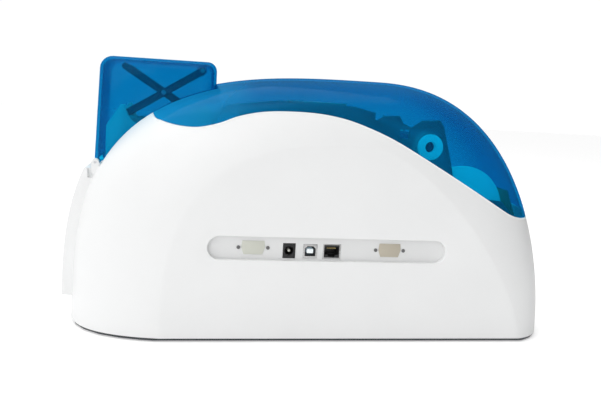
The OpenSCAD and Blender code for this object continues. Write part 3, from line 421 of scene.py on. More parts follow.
def bead_tree():
    """A round bead of a set radius that follows a path."""
    tree, given = new_tree("bead along a path", ("Radius", "NodeSocketFloat", 0.0005),
                           ("Sides", "NodeSocketInt", 8))
    curve = add(tree, "GeometryNodeMeshToCurve", {0: given["Geometry"]})
    ring = add(tree, "GeometryNodeCurvePrimitiveCircle",
               {"Radius": given["Radius"], "Resolution": given["Sides"]})
    tube = add(tree, "GeometryNodeCurveToMesh", {
        "Curve": curve.outputs[0], "Profile Curve": ring.outputs[0], "Fill Caps": True})
    return end_tree(tree, given, tube.outputs[0])


def strip_tree():
    """A strip of a set width along Y that follows a path: film, windings and belts."""
    tree, given = new_tree("strip along a path", ("Width", "NodeSocketVector", (0.0, 0.01, 0.0)))
    grow = add(tree, "GeometryNodeExtrudeMesh", {
        "Mesh": given["Geometry"], "Offset": given["Width"], "Offset Scale": 1.0}, mode="EDGES")
    return end_tree(tree, given, grow.outputs["Mesh"])


def copies_on(tree, given, points, **more):
    """Copies of the given piece on points."""
    piece = add(tree, "GeometryNodeObjectInfo", {"Object": given["Piece"]}).outputs["Geometry"]
    inputs = {"Points": points, "Instance": piece, **more}
    return add(tree, "GeometryNodeInstanceOnPoints", inputs).outputs[0]


def places_tree():
    """A copy of one piece at every point."""
    tree, given = new_tree("piece at every point", ("Piece", "NodeSocketObject", None),
                           ("Size", "NodeSocketFloat", 1.0))
    copies = copies_on(tree, given, given["Geometry"], Scale=given["Size"])
    return end_tree(tree, given, copies)


def path_tree():
    """Copies of one piece at even steps along a path, turned with it about Y."""
    tree, given = new_tree("piece along a path", ("Piece", "NodeSocketObject", None),
                           ("Count", "NodeSocketInt", 40))
    curve = add(tree, "GeometryNodeMeshToCurve", {0: given["Geometry"]})
    even = add(tree, "GeometryNodeResampleCurve",
               {"Curve": curve.outputs[0], "Count": given["Count"]})
    along = add(tree, "GeometryNodeInputTangent").outputs[0]
    turn = add(tree, "FunctionNodeAlignRotationToVector", {"Vector": along},
               axis="X", pivot_axis="Y")
    copies = copies_on(tree, given, even.outputs[0], Rotation=turn.outputs[0])
    return end_tree(tree, given, copies)


TREE_MAKERS = {"bead": bead_tree, "strip": strip_tree, "places": places_tree, "path": path_tree}
TREES = {}


def grown(obj, kind, finish, **values):
    """Runs a tree on obj, its inputs set by identifier, and keeps the plain mesh."""
    if kind not in TREES:
        TREES[kind] = TREE_MAKERS[kind]()
    values["Material"] = MATERIALS[finish]
    modifier = obj.modifiers.new(kind, "NODES")
    modifier.node_group = TREES[kind]
    for item in TREES[kind].interface.items_tree:
        if item.item_type == "SOCKET" and item.in_out == "INPUT" and item.name in values:
            modifier[item.identifier] = values[item.name]
    return evaluated(obj)


def repeated(name, points, piece, finish):
    """A piece at every point (mm), by the node tree; the single piece is used up."""
    copies = grown(polyline(name, points), "places", finish, Piece=piece)
    drop(piece)
    return copies


def thick(obj, depth):
    return outward(modified(obj, "SOLIDIFY", thickness=depth * MM, offset=0.0,
                            use_even_offset=True))


def strip(name, points, y0, y1, depth, finish, closed=False):
    """Strip through points in X and Z (mm), from y0 to y1, with a thickness."""
    path = polyline(name, [(x, y0, z) for x, z in points], closed)
    return thick(grown(path, "strip", finish, Width=(0.0, (y1 - y0) * MM, 0.0)), depth)


def dress(obj, finish, body, replaces=(), sharp=32.0):
    """Gives a finished piece its material and body, and hides the nodes it stands for."""
    obj.data.materials.clear()
    obj.data.materials.append(MATERIALS[finish])
    smooth(obj, sharp)
    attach(obj, body)
    if replaces:
        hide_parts(*replaces)


# --- materials ---
# clear plastic: what light from lamps and surfaces keeps on its way through, the haze at glancing
# angles, the tint of the gloss and the span of X (m) over which the horn gets a painted sheen (lit
# haze standing in for reflected light); and the tint of the painted glow that pale pieces give
# off, though they are no lamps
LIT_TINT, GLANCING_MILK, GLOSS_TINT = (0.7, 0.95, 1.0), (0.02, 0.56, 0.95), (0.6, 0.85, 1.0)
HORN_SHEEN_X, PAINTED_GLOW_TINT = (-0.06, -0.15), (0.6, 0.85, 1.0)


def new_material(name):
    """Empty material, its node tree and the Object coordinates that its patterns read."""
    material = bpy.data.materials.new(name)
    material.use_nodes = True
    material.node_tree.nodes.clear()
    place = add(material.node_tree, "ShaderNodeTexCoord").outputs["Object"]
    return material, material.node_tree, place


def show(tree, shader):
    add(tree, "ShaderNodeOutputMaterial", {"Surface": shader.outputs[0]})


def maths(tree, operation, first, second):
    return add(tree, "ShaderNodeMath", {0: first, 1: second}, operation=operation).outputs[0]


def noise(tree, place, scale, detail=3.0, rough=0.55):
    given = {"Vector": place, "Scale": scale, "Detail": detail, "Roughness": rough}
    return add(tree, "ShaderNodeTexNoise", given).outputs["Fac"]


def ranged(tree, value, low, high, start=0.0, end=1.0, **settings):
    """Value brought from start..end to low..high."""
    given = {"Value": value, "From Min": start, "From Max": end, "To Min": low, "To Max": high}
    return add(tree, "ShaderNodeMapRange", given, **settings).outputs["Result"]


def spread(tree, value, low, high):
    """The middle of a noise's values brought to low..high."""
    return ranged(tree, value, low, high, 0.3, 0.7)


def between(tree, value, first, second):
    """Mix of two colours, each a socket or three numbers."""
    ends = [c if isinstance(c, bpy.types.NodeSocket) else (*c, 1) for c in (first, second)]
    given = {"Factor": value, "A": ends[0], "B": ends[1]}
    return add(tree, "ShaderNodeMix", given, data_type="RGBA").outputs["Result"]


def mixed(tree, share, first, second):
    """Mix of two shaders."""
    return add(tree, "ShaderNodeMixShader", {0: share, 1: first.outputs[0], 2: second.outputs[0]})


def bumped(tree, height, strength, distance):
    given = {"Height": height, "Strength": strength, "Distance": distance}
    return add(tree, "ShaderNodeBump", given).outputs["Normal"]


def tones(colour, down, up):
    """A darker and a lighter shade of a colour."""
    return [c * down for c in colour], [min(1.0, c * up) for c in colour]


def moulded(name, colour, rough=0.35, grain=1400.0, depth=0.00002, coat=0.0, vary=0.04, metal=0.0,
            painted_glow=0.0):
    """Moulded plastic, rubber or cast metal: colour drift, fine skin texture, patchy gloss."""
    material, tree, place = new_material(name)
    drift = spread(tree, noise(tree, place, 14.0, 4.0), 0, 1)
    patchy = noise(tree, place, 60.0, 5.0)
    skin = noise(tree, place, grain, 2.0)
    show(tree, add(tree, "ShaderNodeBsdfPrincipled", {
        "Base Color": between(tree, drift, *tones(colour, 1 - vary, 1 + vary)),
        "Roughness": spread(tree, patchy, rough * 0.85, rough * 1.15),
        "Normal": bumped(tree, skin, 0.35, depth), "Metallic": metal,
        # painted glow: the emission lights up pale pieces that are no lamps
        "Emission Color": (*PAINTED_GLOW_TINT, 1), "Emission Strength": painted_glow,
        "Coat Weight": coat, "Coat Roughness": 0.12,
    }))
    return material


def brushed(name, colour, rough=0.32, along=(1.0, 30.0, 30.0), depth=0.00002):
    """Metal with fine parallel brushing."""
    material, tree, place = new_material(name)
    mapping = add(tree, "ShaderNodeMapping", {"Vector": place, "Scale": along})
    strokes = noise(tree, mapping.outputs[0], 60.0, 6.0, 0.7)
    show(tree, add(tree, "ShaderNodeBsdfPrincipled", {
        "Base Color": between(tree, spread(tree, strokes, 0, 1), *tones(colour, 0.86, 1.1)),
        "Roughness": spread(tree, strokes, rough * 0.8, rough * 1.25),
        "Normal": bumped(tree, strokes, 0.3, depth), "Metallic": 1.0,
    }))
    return material


def clear_plastic(name, tint, looks, horn_sheen=0.0):
    """Thin clear coloured plastic: tinted see-through, deeper at glancing angles, haze, gloss."""
    material, tree, place = new_material(name)
    facing = add(tree, "ShaderNodeLayerWeight", {"Blend": 0.5}).outputs["Facing"]
    glance = maths(tree, "POWER", facing, 3.0)
    # light that shines or bounces through stays nearly whole, so that the inside is lit
    rays = add(tree, "ShaderNodeLightPath").outputs
    lights = maths(tree, "MAXIMUM", rays["Is Shadow Ray"], rays["Is Diffuse Ray"])
    seen = between(tree, maths(tree, "POWER", facing, 2.2), tint, looks.lid_edge_tint)
    tinted = between(tree, lights, seen, LIT_TINT)
    through = add(tree, "ShaderNodeBsdfTransparent", {"Color": tinted})
    # haze, more of it at glancing angles, less at the very outline, and more towards the horn as a
    # painted sheen standing in for reflected light
    drift = spread(tree, noise(tree, place, 9.0, 3.0), 0, 1)
    haze = between(tree, drift, *tones(looks.lid_haze, 0.85, 1.15))
    milk = {"Color": between(tree, glance, haze, GLANCING_MILK)}
    milky = mixed(tree, 0.35, add(tree, "ShaderNodeBsdfDiffuse", milk),
                  add(tree, "ShaderNodeBsdfTranslucent", milk))
    inner = ranged(tree, maths(tree, "POWER", facing, 6.0), 1.0, 0.25)
    amount = ranged(tree, glance, looks.lid_haze_share, looks.lid_haze_share + 0.3)
    # painted sheen: lit haze rises towards the horn along X, standing in for the reflection there
    x = add(tree, "ShaderNodeSeparateXYZ", {0: place}).outputs["X"]
    total = maths(tree, "ADD", amount, ranged(tree, x, 0.0, horn_sheen, *HORN_SHEEN_X))
    hazy = mixed(tree, maths(tree, "MULTIPLY", total, inner), through, milky)
    gloss = add(tree, "ShaderNodeBsdfGlossy", {
        "Color": (*GLOSS_TINT, 1), "Roughness": 0.06,
        "Normal": bumped(tree, noise(tree, place, 22.0, 2.0), 0.12, 0.0004)})
    share = ranged(tree, maths(tree, "POWER", facing, 4.5), 0.005, 0.22)
    show(tree, mixed(tree, maths(tree, "MULTIPLY", share, inner), hazy, gloss))
    return material


# by finish name; made when the Finishes operator runs
MATERIALS = {}


def make_materials(looks):
    body = list(looks.body_colour)
    MATERIALS.update(
        body=moulded("shell white", body, 0.38, 1600.0, 0.000015, coat=0.05, vary=0.012),
        port_plate=moulded("port plate", (0.77, 0.775, 0.775), 0.5, 1500.0, 0.00001, vary=0.015),
        # the socket white gets a painted glow that brightens the tongue deep in its socket
        socket_white=moulded("socket white", (0.88, 0.88, 0.87), 0.4, 1600.0, 0.00001, vary=0.01,
                             painted_glow=0.2),
        gold=moulded("contact gold", (0.75, 0.58, 0.25), 0.3, 900.0, 0.00001, metal=1.0),
        dull_screw=moulded("port screw", (0.2, 0.2, 0.2), 0.45, 900.0, 0.00002, metal=0.7),
        # the rim bead is a real rounded edge; its white, lighter than the shell's, is a painted
        # highlight
        rim=moulded("rim white painted highlight", (0.95, 0.95, 0.95), 0.3, 1600.0, 0.00001, coat=0.1, vary=0.004),
        panel_white=moulded("end panel white", [c * 0.985 for c in body], 0.4, 1600.0, 0.000015,
                            vary=0.012),
        # the lid's horn gets a painted sheen of lit haze
        lid=clear_plastic("lid clear blue", looks.lid_tint, looks, horn_sheen=0.5),
        hopper=clear_plastic("hopper clear blue", looks.hopper_tint, looks),
        steel=brushed("side plate steel", (0.5, 0.53, 0.56), 0.42),
        shaft=brushed("turned shaft steel", (0.66, 0.67, 0.69), 0.22, (30.0, 1.0, 30.0)),
        dark=moulded("dark pan", (0.045, 0.05, 0.058), 0.5, 900.0, 0.00004, vary=0.08),
        navy=moulded("presser arm navy", (0.012, 0.03, 0.11), 0.38, 1200.0, 0.00002, vary=0.1),
        grey=moulded("feeder grey", (0.42, 0.47, 0.52), 0.42, 1100.0, 0.00003, vary=0.05),
        pale=moulded("magazine pale grey", (0.62, 0.68, 0.72), 0.42, 1100.0, 0.00003, vary=0.05),
        rubber=moulded("roller rubber", (0.02, 0.02, 0.022), 0.75, 700.0, 0.00006, vary=0.15),
        blue_rubber=moulded("cleaning roller blue", (0.12, 0.38, 0.62), 0.6, 800.0, 0.00005,
                            vary=0.06),
        ivory=moulded("gear ivory", (0.84, 0.81, 0.7), 0.36, 1200.0, 0.00002, vary=0.04),
        # spool white and film roll get a painted glow that brightens them behind the tinted lid
        spool=moulded("spool white", (0.93, 0.95, 0.95), 0.33, 1200.0, 0.00002, vary=0.03,
                      painted_glow=0.3),
        film=moulded("film roll", (0.86, 0.95, 0.97), 0.22, 500.0, 0.00001, coat=0.3, painted_glow=0.26),
        film_dark=moulded("spent film", (0.03, 0.12, 0.42), 0.22, 500.0, 0.00001, coat=0.3,
                          vary=0.08),
        brass=moulded("pinion brass", (0.72, 0.52, 0.2), 0.28, 900.0, 0.00002, vary=0.05,
                      metal=1.0),
        head=brushed("head aluminium", (0.74, 0.76, 0.78), 0.3, (30.0, 1.0, 1.0)),
        motor=moulded("motor can", (0.08, 0.085, 0.09), 0.35, 900.0, 0.00003, vary=0.08,
                      metal=0.6),
        board=moulded("board green", (0.02, 0.2, 0.09), 0.4, 500.0, 0.00004, vary=0.12),
        black=moulded("socket black", (0.012, 0.012, 0.013), 0.4, 1200.0, 0.00002, vary=0.1),
        port_metal=brushed("socket shell", (0.6, 0.6, 0.6), 0.28, (1.0, 20.0, 20.0)),
        blank_green=moulded("left blank", (0.62, 0.63, 0.56), 0.45, 1200.0, 0.00002, vary=0.03),
        blank_beige=moulded("right blank", (0.50, 0.455, 0.37), 0.45, 1200.0, 0.00002, vary=0.03),
        panel=moulded("control panel", (0.03, 0.033, 0.04), 0.3, 1400.0, 0.000015, coat=0.2,
                      vary=0.06),
        window=moulded("window green grey", (0.26, 0.36, 0.27), 0.12, 300.0, 0.00001, coat=0.6,
                       vary=0.03),
        green_key=moulded("button green", (0.06, 0.42, 0.12), 0.3, 1400.0, 0.00001, coat=0.3),
        grey_key=moulded("button grey", (0.6, 0.62, 0.64), 0.3, 1400.0, 0.00001, coat=0.3),
    )


# the finish of every node, whether it is carried over or replaced
FINISH_NODES = {
    "dark": "base_pan",
    "rubber": "rubber_feet pick_roller entry_roller platen_roller exit_roller feed_belt pick_belt",
    "shaft": (
        "housing_screws lid_hinge_pin hopper_hinge_pins presser_pins head_pivot_shaft "
        "head_springs port_screws"),
    "navy": "presser_outer_arm presser_inner_arm",
    "grey": "presser_plate card_deck entry_pinch_roller exit_pinch_roller head_arm",
    "pale": "card_magazine",
    "steel": "chassis_rear_plate chassis_front_plate chassis_ties",
    "blue_rubber": "cleaning_roller",
    "ivory": "pick_pulley entry_pulleys platen_pulley exit_pulley drive_gear takeup_gear",
    "motor": "feed_motor ribbon_motor",
    "brass": "feed_pinion ribbon_pinion board_spacers",
    "head": "print_head",
    "spool": "supply_flanges takeup_core",
    "film": "supply_roll ribbon_web",
    "film_dark": "takeup_roll",
    "board": "main_board sensor_board",
    "black": "dc_jack",
    "port_metal": "usb_port lan_port",
    "blank_green": "left_port_blank",
    "blank_beige": "right_port_blank",
    "panel": "control_panel",
    "window": "panel_window",
    "green_key": "power_button",
    "grey_key": "feed_button",
    "body": "rear_housing front_housing",
    "panel_white": "end_panel",
    "lid": "lid",
    "hopper": "hopper_cover",
}
NODE_FINISH = {node: finish for finish, nodes in FINISH_NODES.items() for node in nodes.split()}


def wave_curve(steps=14):
    """The rim's line: a smooth curve through the WAVE points (mm)."""
    points = [np.array(p, float) for p in WAVE]
    last = len(points) - 1
    line = []
    for i in range(last):
        a, b, c, d = (points[min(max(k, 0), last)] for k in (i - 1, i, i + 1, i + 2))
        for j in range(steps):
            s = j / steps
            line.append(
                0.5 * (2 * b + (c - a) * s + (2 * a - 5 * b + 4 * c - d) * s * s
                       + (3 * b - a - 3 * c + d) * s**3)
            )
    line.append(points[last])
    return [tuple(p) for p in line]


def below_wave():
    outline = [(-LONG, -5), (-LONG, 240), (SEAM_LEFT, 240), *wave_curve(), (HINGE_X, SEAM_Z),
               (SEAM_RIGHT, SEAM_Z), (SEAM_RIGHT, -5)]
    solid = prism("below wave", outline, -WIDE, WIDE)
    return join(solid, rod("hinge round", HINGE_X, HINGE_Z, HINGE_ROUND, 0.1 - WIDE, WIDE - 0.1))


def above_wave(gap):
    top, low = LONG + gap, SEAM_Z + gap
    outline = [(SEAM_LEFT + gap, top), *[(x, z + gap) for x, z in wave_curve()],
               (HINGE_X, low), (SEAM_RIGHT, low), (SEAM_RIGHT, top)]
    solid = prism("above wave", outline, -WIDE, WIDE)
    return cut(solid, rod("hinge room", HINGE_X, HINGE_Z, HINGE_ROUND + gap, -WIDE - 5, WIDE + 5))


def flared_recess(name, flare):
    """Cutter of the recess, its mouth rounded outwards by flare."""
    rings = [(-FLAT_HALF - 4.0, 2 * flare)]
    for step in range(7):
        angle = math.radians(90 * step / 6)
        y = -FLAT_HALF + flare - flare * math.cos(angle)
        rings.append((y, 2 * flare * (1 - math.sin(angle))))
    rings.append((RECESS_FLOOR, 0.0))
    return loft(name, [[(x, y, z) for x, z in recess_points(more)] for y, more in rings])


# --- shell and lid ---
def build_housing():
    shell = dome_solid("housing_shell", 0.0, soft_edge=3.0)
    cut(shell, dome_core(SHELL_WALL))
    keep(shell, below_wave())
    cut(shell, box("floor cut", -LONG, LONG, -WIDE, WIDE, -30, SHELL_BOTTOM))
    join(shell, prism("tray", recess_points(4), -96.5, -91))
    left, right, half = OPENING
    cut(shell, box("hopper opening", left, right, -half, half, 100, LONG))
    cut(shell, box("hinge slot", HINGE_X - 9, HINGE_X + 20, -13.6, 13.6, HINGE_Z - 6, 130))
    cut(shell, box("card slot", -235, -195, -29, 29, 109.4, 114.6))
    hinge_x, hinge_z = COVER_HINGE
    for y0, y1 in ((-LUG_Y[0], LUG_Y[0]), (LUG_Y[1], half), (-half, -LUG_Y[1])):
        cut(shell, rod("knuckle room", hinge_x, hinge_z, KNUCKLE_R, y0, y1))
        cut(shell, box("knuckle top", hinge_x - KNUCKLE_R, left + 1, y0, y1, hinge_z, 160))
    cut(shell, flared_recess("recess", 1.0))
    for x, w, h in ((DC_X, 11.3, 13.5), (USB_X, 12.7, 12.7), (LAN_X, 16.1, 13.5)):
        cut(shell, block("port hole", x, w, JACK_Z, h, -96, -88))
    cut(shell, box("panel hole", PANEL_X - PANEL_HALF_X, PANEL_X + PANEL_HALF_X, 93, 103,
                   PANEL_Z - PANEL_HALF_Z, PANEL_Z + PANEL_HALF_Z))
    for x in PORT_SCREWS_X:
        cut(shell, rod("screw hole", x, PORT_Z, 1.3, -96, -88, 16))
    for side in (1, -1):
        add_fittings(shell, side)
    for name, node, y0, y1 in (("rear_shell", "rear_housing", -WIDE, -0.02),
                               ("front_shell", "front_housing", 0.02, WIDE)):
        half_shell = placed(name, shell.data.copy())
        keep(half_shell, box("half", -LONG, LONG, y0, y1, -5, LONG))
        dress(half_shell, "body", "housing", [node], 24)
    drop(shell)


def span(side, y0, y1):
    return (y0, y1) if side > 0 else (-y1, -y0)


def add_fittings(shell, side):
    """Hinge ear, hopper lug, screw bosses and their ribs on one side of the shell."""
    ear_y, lug_y = span(side, *EAR_Y), span(side, *LUG_Y)
    foot = box("ear foot", HINGE_X - BARREL_R, HINGE_X + 12, *ear_y, HINGE_Z - 12, HINGE_Z)
    keep(foot, dome_core(SHELL_WALL / 2))
    ear = join(rod("ear", HINGE_X, HINGE_Z, BARREL_R, *ear_y), foot)
    cut(ear, rod("pin hole", HINGE_X, HINGE_Z, 1.5, ear_y[0] - 1, ear_y[1] + 1, 24))
    x, z = COVER_HINGE
    web = prism("lug web", [(x - LUG_R, z), (x + LUG_R, z), (x + 8.5, z - 5), (x + 8.5, z - 11),
                            (x + 1, z - 16), (x - LUG_R, z - 8)], *lug_y)
    cut(web, dome_core(4.0))
    lug = join(rod("lug", x, z, LUG_R, *lug_y), web)
    cut(lug, rod("lug hole", x, z, 1.25, lug_y[0] - 1, lug_y[1] + 1, 24))
    join(shell, ear, lug)
    for x, y in BOSSES:
        rib = box("rib", x - 1, x + 1, *span(side, y + 3.8, FLAT_HALF), SHELL_BOTTOM, 26)
        keep(rib, dome_core(SHELL_WALL / 2))
        post = upright("boss", x, side * y, 4.2, SHELL_BOTTOM, SHELL_BOTTOM + 26)
        join(shell, join(post, rib))
        cut(shell, upright("bore", x, side * y, 1.45, SHELL_BOTTOM - 1, SHELL_BOTTOM + 18, 24))


def build_lid():
    left, right, half = OPENING
    right, half = right + 0.2, half + 0.2
    inside = LID_WALL / 2
    shell = dome_solid("lid_shell", 0.0)
    cut(shell, dome_core(LID_WALL))
    cut(shell, box("hopper notch", left, right, -half, half, 100, LONG))
    lip = box("notch lip", -150, right + 1.6, -half - 1.6, half + 1.6, 100, LONG)
    cut(lip, box("hopper notch", left, right, -half, half, 90, LONG + 10))
    cut(lip, dome_core(9.0))
    keep(lip, dome_core(inside))
    join(shell, lip)
    keep(shell, above_wave(LID_GAP))
    arm = box("hinge arm", HINGE_X - 4, HINGE_X + 8, -ARM_HALF, ARM_HALF, HINGE_Z, HINGE_Z + 16)
    lean = math.radians(20)
    slant = [(HINGE_X - 13.5 + x * math.cos(lean) + z * math.sin(lean),
              HINGE_Z - 3 - x * math.sin(lean) + z * math.cos(lean))
             for x, z in ((0, 0), (10, 0), (10, 30), (0, 30))]
    cut(arm, prism("slant", slant, -ARM_HALF - 1, ARM_HALF + 1))
    keep(arm, dome_core(inside))
    join(shell, arm, rod("barrel", HINGE_X, HINGE_Z, BARREL_R, -ARM_HALF, ARM_HALF))
    cut(shell, rod("pin hole", HINGE_X, HINGE_Z, 1.65, -20, 20, 24))
    spots = [dome_point(a, side * BUMP_Y) for a in BUMPS for side in (-1, 1)]
    join(shell, repeated("bumps", spots, ball_solid("bump", 1.8), "lid"))
    dress(shell, "lid", "lid", ["lid"], 28)


def ball_solid(name, r):
    ball = new_object(name, [], [])
    edited(ball.data, lambda bm: bmesh.ops.create_icosphere(bm, subdivisions=3, radius=r * MM))
    return ball


def bead(name, points, radius, finish):
    """Round bead through points (mm)."""
    return grown(polyline(name, points), "bead", finish, Radius=radius * MM, Sides=10)


def build_rim():
    """White bead on the shell's upper edge, along the wave, on both sides: a real rounded edge,
    its white lighter than the shell's as a painted highlight.
    """
    line = [(x, z - 0.45) for x, z in wave_curve(8) if -146 < x < 196]
    beads = []
    for side in (-1, 1):
        points = [(x, side * (y - 0.3), z) for (x, z), y in zip(line, sides_at(line))]
        beads.append(bead(f"rim_{side}", points, 0.7, "rim"))
    dress(merged("rim_bead", beads), "rim", "housing", sharp=60)


def sides_at(points):
    """For points in X and Z (mm), the distance from the middle at which the dome's skin passes."""
    points = np.array(points, float)
    bearing = np.arctan2(points[:, 1], points[:, 0] - ARCH_X)
    reach = np.hypot(points[:, 0] - ARCH_X, points[:, 1])
    angles = np.linspace(0.01, 179.99, 4000)
    sx, sz = half_curve(angles, **SILHOUETTE)
    ax, az = half_curve(angles, **ARCH)
    levels = np.concatenate([np.linspace(0, 90, 60), np.linspace(90.2, FLAT_HALF, 40)])
    spare = []
    for share in section_share(levels, 0.0):
        x, z = ax + (sx - ax) * share - ARCH_X, az + (sz - az) * share
        spare.append(np.interp(bearing, np.arctan2(z, x), np.hypot(x, z)) - reach)
    spare = np.array(spare)
    return [float(np.interp(0.0, -column, levels)) if column[-1] < 0 else FLAT_HALF
            for column in spare.T]


# --- sockets in the recess ---
def block(name, x, w, z, h, y0=JACK_FRONT, y1=JACK_BACK):
    """Box centred on x and z, w wide and h high."""
    return box(name, x - w / 2, x + w / 2, y0, y1, z - h / 2, z + h / 2)


def build_sockets():
    plate = prism("port_plate", recess_points(-0.4), RECESS_FLOOR - 0.16, RECESS_FLOOR)
    holes = [(DC_X, JACK_Z, 11, 13.2), (USB_X, JACK_Z, 12.4, 12.4), (LAN_X, JACK_Z, 15.8, 13.2)]
    for x, z, w, h in holes + [(x, PORT_Z, 16, 9) for x in BLANKS_X]:
        cut(plate, block("hole", x, w, z, h, -95, -90))
    dress(plate, "port_plate", "housing")
    build_power_socket()
    build_data_socket()
    build_network_socket()


def build_power_socket():
    jack = bevelled(block("power_socket", DC_X, 10.8, JACK_Z, 13.0), 0.5)
    cut(jack, rod("bore", DC_X, JACK_Z, 3.6, -100, -80))
    mouth = [[(x, y, z) for x, z in circle_points(DC_X, JACK_Z, r)]
             for y, r in ((-94.0, 5.0), (JACK_FRONT, 4.3), (-92.6, 3.6), (-92.0, 3.4))]
    cut(jack, loft("mouth", mouth))
    dress(jack, "black", "housing", ["dc_jack"])
    pin = bevelled(rod("power_socket_pin", DC_X, JACK_Z, 1.1, -92.4, -79.8, 24), 0.4)
    dress(pin, "blank_green", "housing")


def build_data_socket():
    socket = bevelled(block("usb_socket", USB_X, 12.2, JACK_Z, 12.2), 0.3)
    w, h, corner = 4.75, 4.4, 2.2
    mouth = [(-w, -h), (w, -h), (w, h - corner), (w - corner, h), (corner - w, h),
             (-w, h - corner)]

    def mouth_prism(name, share, y0, y1):
        return prism(name, [(USB_X + x * share, JACK_Z + z * share) for x, z in mouth], y0, y1)

    cut(socket, mouth_prism("mouth", 1.0, -100, -80))
    dress(socket, "port_metal", "housing", ["usb_port"])
    lining = mouth_prism("usb_lining", 0.98, -92.0, -80.4)
    cut(lining, mouth_prism("room", 0.8, -100, -82))
    dress(lining, "black", "housing")
    tongue = bevelled(block("usb_tongue", USB_X, 5.6, JACK_Z - 0.1, 3.7, -92.6, -80.2), 0.4)
    dress(tongue, "socket_white", "housing")


def build_network_socket():
    socket = bevelled(block("network_socket", LAN_X, 15.6, JACK_Z, 13.0), 0.3)
    x, z = LAN_X - 0.2, JACK_Z + 0.2
    cut(socket, block("room", x, 13.6, z, 11.2, -100, -79.5))
    dress(socket, "port_metal", "housing", ["lan_port"])
    inner = block("network_insert", x, 13.5, z, 11.1, -92.9, -79.6)
    cut(inner, block("mouth", x, 11.8, JACK_Z + 0.6, 7.0, -100, -81.5))
    cut(inner, block("latch", x, 6.2, JACK_Z - 3.4, 2.4, -100, -84))
    dress(inner, "black", "housing")
    wires = [(x + 1.02 * (i - 3.5), 0, JACK_Z + 3.2) for i in range(8)]
    wire = box("wire", -0.22, 0.22, -91.0, -82.0, -0.9, -0.3)
    dress(repeated("network_contacts", wires, wire, "gold"), "gold", "housing")


# --- screws ---
def build_screws():
    head = bevelled(rod("head", 0, 0, 1.6, -93.9, -93.0, 24), 0.25)
    for w, h in ((2.0, 0.45), (0.45, 2.0)):
        cut(head, block("cross", 0, w, 0, h, -95, -93.5))
    join(head, rod("shank", 0, 0, 1.25, -93.4, -89, 24))
    spots = [(x, 0, PORT_Z) for x in PORT_SCREWS_X]
    screws = repeated("port_screw_set", spots, head, "dull_screw")
    dress(screws, "dull_screw", "housing", ["port_screws"])

    head = bevelled(upright("head", 0, 0, 2.9, 0.3, 1.2), 0.3)
    for w, h in ((3.6, 0.7), (0.7, 3.6)):
        cut(head, box("cross", -w / 2, w / 2, -h / 2, h / 2, -1, 0.9))
    join(head, upright("shank", 0, 0, 1.45, 1.1, 15.2))
    spots = [(x, s * y, 0) for x, y in BOSSES for s in (-1, 1)]
    screws = repeated("shell_screw_set", spots, head, "shaft")
    dress(screws, "shaft", "housing", ["housing_screws"])


# --- film, belts and springs ---
def spiral(centre, r0, r1, turns, steps=48):
    """Winding in X and Z (mm) about a centre, from radius r0 to r1."""
    n = turns * steps
    points = []
    for i in range(n + 1):
        r, angle = r0 + (r1 - r0) * i / n, math.radians(360 * i / steps)
        points.append((centre[0] + r * math.cos(angle), centre[1] + r * math.sin(angle)))
    return points


def loop(x0, x1, r):
    """Line of a belt about two pulleys."""
    right = circle_points(x1, ROLLER_Z, r, 24, -90, 90)
    return right + circle_points(x0, ROLLER_Z, r, 24, 90, 270)


def build_film():
    for name, points, depth, finish, body, slot, node in (
        ("film_web", FILM, 0.3, "film", "housing", "film_blue", "ribbon_web"),
        ("film_supply", spiral(SUPPLY, *SUPPLY_WINDING), 0.9, "film", "supply_spool", "film_blue",
         "supply_roll"),
        ("film_spent", spiral(TAKEUP, *TAKEUP_WINDING), 0.55, "film_dark", "takeup_spool",
         "film_dark", "takeup_roll"),
    ):
        sheet = strip(name, points, -FILM_HALF, FILM_HALF, depth, finish)
        dress(sheet, finish, body, [node], 40)
    hub = join(bevelled(rod("takeup_hub", *TAKEUP, 4.85, -62, -41), 0.5),
               bevelled(rod("boss", TAKEUP[0] - 0.8, TAKEUP[1], 2.4, -65, -61), 0.5))
    dress(hub, "navy", "takeup_spool")


def build_belts():
    shape = [(-0.9, -0.26), (0.9, -0.26), (1.2, 0.3), (-1.2, 0.3)]
    for node, x0, x1, y0, y1 in BELTS:
        band = strip(f"{node}_band", loop(x0, x1, BELT_IN + BELT_T / 2), y0, y1, BELT_T, "rubber",
                     closed=True)
        tooth = prism("tooth", shape, y0 + 0.1, y1 - 0.1)
        inner = [(x, 0, z) for x, z in loop(x0, x1, BELT_IN)]
        run = 2 * (x1 - x0) + 2 * math.pi * BELT_IN
        teeth = grown(polyline(f"{node}_teeth", [*inner, inner[0]]), "path", "rubber",
                      Piece=tooth, Count=int(run / TOOTH_STEP) + 1)
        drop(tooth)
        belt = merged(f"{node}_toothed", [band, teeth])
        dress(belt, "rubber", "housing", [node], 40)


def build_springs():
    coils = []
    for y in SPRING_Y:
        points = []
        for i in range(SPRING_STEPS + 1):
            angle = 2 * math.pi * SPRING_TURNS * i / SPRING_STEPS
            rise = (SPRING_TOP - SPRING_LOW - 2 * WIRE_R) * i / SPRING_STEPS
            points.append((SPRING_X + COIL_R * math.cos(angle), y + COIL_R * math.sin(angle),
                           SPRING_LOW + WIRE_R + rise))
        coils.append(bead(f"spring_{y}", points, WIRE_R, "shaft"))
    springs = merged("head_spring_coils", coils)
    dress(springs, "shaft", "housing", ["head_springs"], 60)
    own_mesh(springs)


